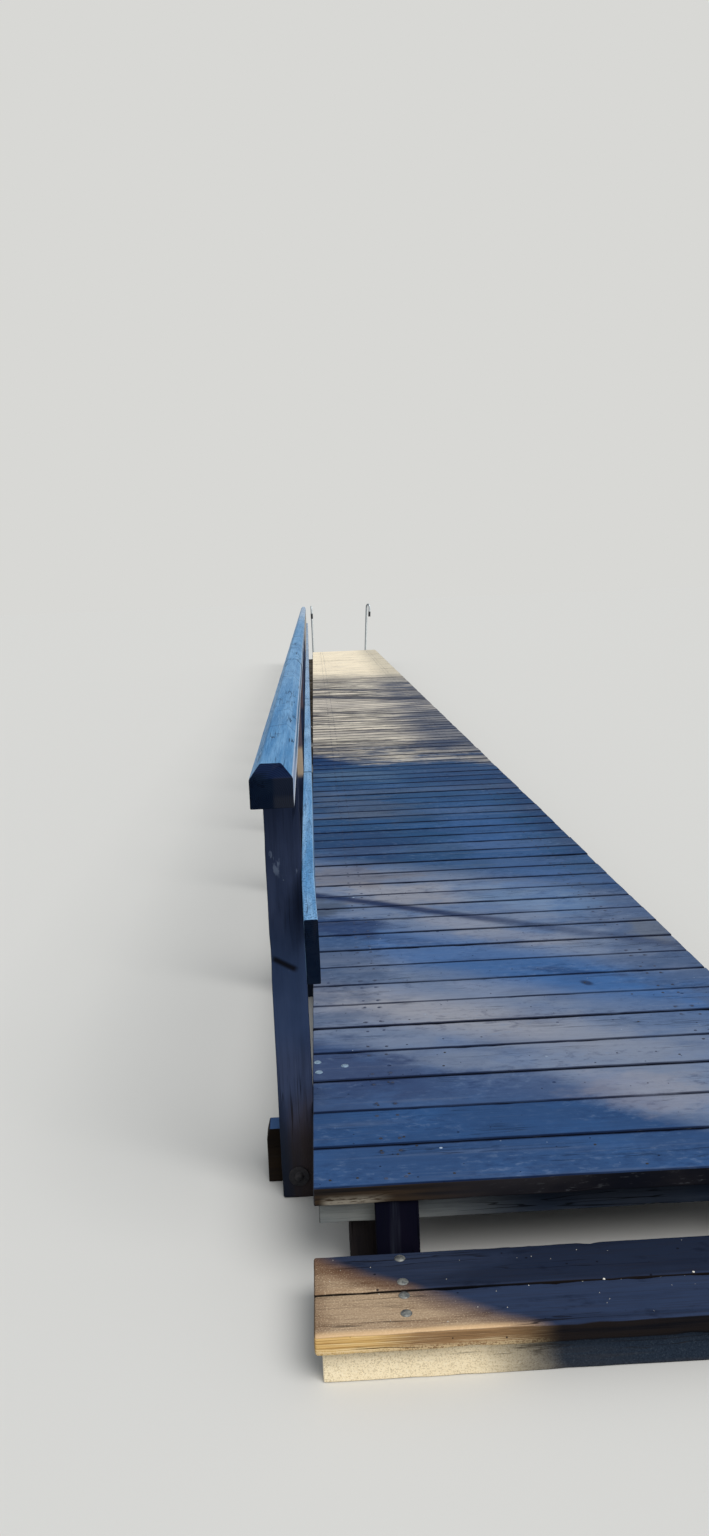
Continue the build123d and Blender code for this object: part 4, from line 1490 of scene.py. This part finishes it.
places = [((deck_low.x + across / 1000, deck_low.y + plank * PLANK_PITCH + back / 1000, DECK_TOP), UP,
           OLD_NAIL_SCALE) for plank, across, back in OLD_NAILS]
seated("old_nails", "screw", "deck_boards_1", places, dark_iron)
print("old nails:", len(places))

# %% Bolts of the step and of the deck beside the first post
STEP_BOLT_LINE = 0.506
STEP_BOLTS = {"front_step_board": (0.024, 0.087), "rear_step_board": (0.137, 0.229)}
DECK_BOLTS = ((-0.6860, 1.0145), (-0.6825, 0.9440), (-0.6060, 0.9800))
DECK_BOLT_SCALE = 0.88

for board, rows in STEP_BOLTS.items():
    places = [((side * STEP_BOLT_LINE, y, STEP_TOP), UP, 1.0) for side in BOTH for y in rows]
    seated(board + "_bolts", "dome", board, places, dull_zinc, (0.0015, 0.001, 0.0))
places = [((x, y, DECK_TOP), UP, DECK_BOLT_SCALE) for x, y in DECK_BOLTS]
seated("deck_edge_bolts", "dome", "deck_boards_1", places, blue_shade_zinc)
print("coach bolts seated")

# %% Bolts through the posts and beams
BOLT_HEIGHT = 0.063

posts = []
for part in ("near", "middle", "far"):
    boxes = solid_boxes(f"rail_posts_{part}")
    places = [(((low.x + high.x) / 2, low.y, BOLT_HEIGHT), TOWARDS_SHORE, 1.0) for low, high in boxes]
    seated(f"{part}_post_bolts", "washer", f"{part}_posts", places, dark_iron)
    posts += boxes
beam_thickness = solid_boxes("cross_beams")[0][1].y - posts[0][1].y
places = [(((low.x + high.x) / 2, high.y + beam_thickness, BOLT_HEIGHT), AHEAD, 1.0) for low, high in posts]
seated("beam_nuts", "nut", "trestle_beams", places, dark_iron)
print("bolts through", len(posts), "posts")

# %% Screws of the mid-rail
RAIL_SCREW_UP = 0.035
RAIL_SCREW_FROM_END = 0.026
RAIL_SCREW_SCALE = 0.9

for number, node in enumerate(mid_rails, start=1):
    low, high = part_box(node)
    (start, finish), width, height = end_middles(node)
    rows = [(post_low.y + post_high.y) / 2 for post_low, post_high in posts]
    rows = [y for y in rows if low.y + RAIL_SCREW_FROM_END < y < high.y - RAIL_SCREW_FROM_END]
    if number > 1:
        rows.append(low.y + RAIL_SCREW_FROM_END)
    if number < len(mid_rails):
        rows.append(high.y - RAIL_SCREW_FROM_END)
    places = []
    for y in rows:
        face = start.lerp(finish, (y - low.y) / (high.y - low.y)).x + width / 2
        places += [((face, y, start.z + side * RAIL_SCREW_UP), TOWARDS_DECK, RAIL_SCREW_SCALE) for side in BOTH]
    seated(f"lower_rail_screws_{number}", "screw", f"lower_rail_{number}", places, dark_iron, (0.0, 0.003, 0.004))
print("mid-rail screws in the last length:", len(places))

# %% Bolts of the ladder and screws of the end board
PLATE_THICKNESS = 0.008
PLATE_BOLT_INWARDS = 0.040
PLATE_BOLT_EDGE = 0.025
END_SCREW_ROWS = (0.125, 0.200)

tread_low, tread_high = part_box("ladder_tread")
plate_low, plate_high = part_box("ladder_brackets")
places = [((x, end_high.y + PLATE_THICKNESS, z), AHEAD, 1.0)
          for x in (tread_low.x + PLATE_BOLT_INWARDS, tread_high.x - PLATE_BOLT_INWARDS)
          for z in (plate_low.z + PLATE_BOLT_EDGE, plate_high.z - PLATE_BOLT_EDGE)]
seated("ladder_bolts", "hexagon", "ladder_brackets", places, zinc)
places = [((x, end_high.y, z), AHEAD, 1.0) for x in LINES for z in END_SCREW_ROWS]
seated("end_board_screws", "screw", "far_end_board", places, dark_iron)
print("ladder bolts seated")

# %% [markdown]
# ## Grit on the step
#
# People carry sand and small stones onto the step, and they stay in the joint between its two boards.
# The same tree seats them. Most lie along the joint and the rest anywhere, and a fixed seed makes them
# fall in the same places each time.

# %% Grit
GRIT_COUNT = 44
JOINT_BIG = ((-0.060, 0.105), (0.067, 0.105), (0.143, 0.112))
BIG_GRIT = 0.0028
REAR_BOARD = (0.115, 0.250)

dice = random.Random(11)
grit_left, grit_right = step_low.x + 0.02, step_high.x - 0.02
places = [((x, y, STEP_TOP), UP, BIG_GRIT) for x, y in JOINT_BIG]
for number in range(GRIT_COUNT):
    x = dice.uniform(grit_left, grit_right)
    beside_joint = dice.gauss(step_high.y, 0.006)
    y = beside_joint if number % 2 else dice.uniform(step_low.y + 0.01, step_high.y)
    places.append(((x, min(y, step_high.y - 0.001), STEP_TOP), UP, dice.uniform(0.0005, 0.0012)))
seated("grit_on_front_board", "grit", "front_step_board", places, stone, slot="riser_timber")
places = []
for number in range(GRIT_COUNT // 2):
    x = dice.uniform(grit_left, grit_right)
    places.append(((x, dice.uniform(*REAR_BOARD), STEP_TOP), UP, dice.uniform(0.0005, 0.0011)))
seated("grit_on_rear_board", "grit", "rear_step_board", places, stone, slot="riser_timber")
for head in heads.values():
    bpy.data.objects.remove(head)
print("grains of grit:", GRIT_COUNT * 3 // 2 + len(JOINT_BIG))

# %% [markdown]
# ## Floor and light
#
# A pale floor stands in for shore and water. The light is that of a plain studio: an even dome, and
# one very broad lamp from above and from the front, a little to the right, so that the step and its
# riser are lit. A sun lamp is used because it is equally strong over all 24 metres, and its wide angle
# makes the shadows soft. The backdrop has the colour that the lit floor has, so that no horizon shows.

# %% Floor, world and lamp
FLOOR_HALF = 150.0
FLOOR_DROP = 0.001
DOME_COLOUR = (0.95, 0.98, 1.0, 1.0)
DOME_STRENGTH = 0.48
LAMP_STRENGTH = 2.35
LAMP_ANGLE = math.radians(40)
LAMP_COLOUR = (1.0, 0.98, 0.95)
TOWARDS_LAMP = Vector((0.35, -0.60, 0.80))


def make_floor():
    mesh = bpy.data.meshes.new("floor")
    corners = [(-1, -1), (1, -1), (1, 1), (-1, 1)]
    mesh.from_pydata([(x * FLOOR_HALF, y * FLOOR_HALF, -FLOOR_DROP) for x, y in corners], [], [(0, 1, 2, 3)])
    floor = placed("floor", mesh)
    material, net = new_material("pale_floor")
    surface = net.add("ShaderNodeBsdfDiffuse", {"Color": colour(214, 214, 212)})
    net.node("ShaderNodeOutputMaterial", {"Surface": surface})
    mesh.materials.append(material)
    return floor


def make_light():
    world = bpy.data.worlds.new("studio")
    bpy.context.scene.world = world
    world.use_nodes = True
    world.node_tree.nodes.clear()
    net = Net(world.node_tree)
    rays = net.node("ShaderNodeLightPath").outputs
    camera_ray, glossy_ray, glass_ray = [Value(net, rays[f"Is {kind} Ray"])
                                         for kind in ("Camera", "Glossy", "Transmission")]
    dome = net.add("ShaderNodeBackground", {"Color": DOME_COLOUR, "Strength": DOME_STRENGTH})
    backdrop = net.add("ShaderNodeBackground", {"Color": colour(216, 216, 213), "Strength": 1.0})
    both = net.add("ShaderNodeMixShader", {0: camera_ray.most(glossy_ray).most(glass_ray), 1: dome, 2: backdrop})
    net.node("ShaderNodeOutputWorld", {"Surface": both})
    lamp = placed("broad_lamp", bpy.data.lights.new("broad_lamp", "SUN"))
    lamp.data.energy = LAMP_STRENGTH
    lamp.data.angle = LAMP_ANGLE
    lamp.data.color = LAMP_COLOUR
    lamp.rotation_euler = TOWARDS_LAMP.normalized().to_track_quat("Z", "Y").to_euler()
    return lamp


floor = make_floor()
lamp = make_light()
bpy.context.scene.view_settings.view_transform = "Standard"
print("floor and light ready")
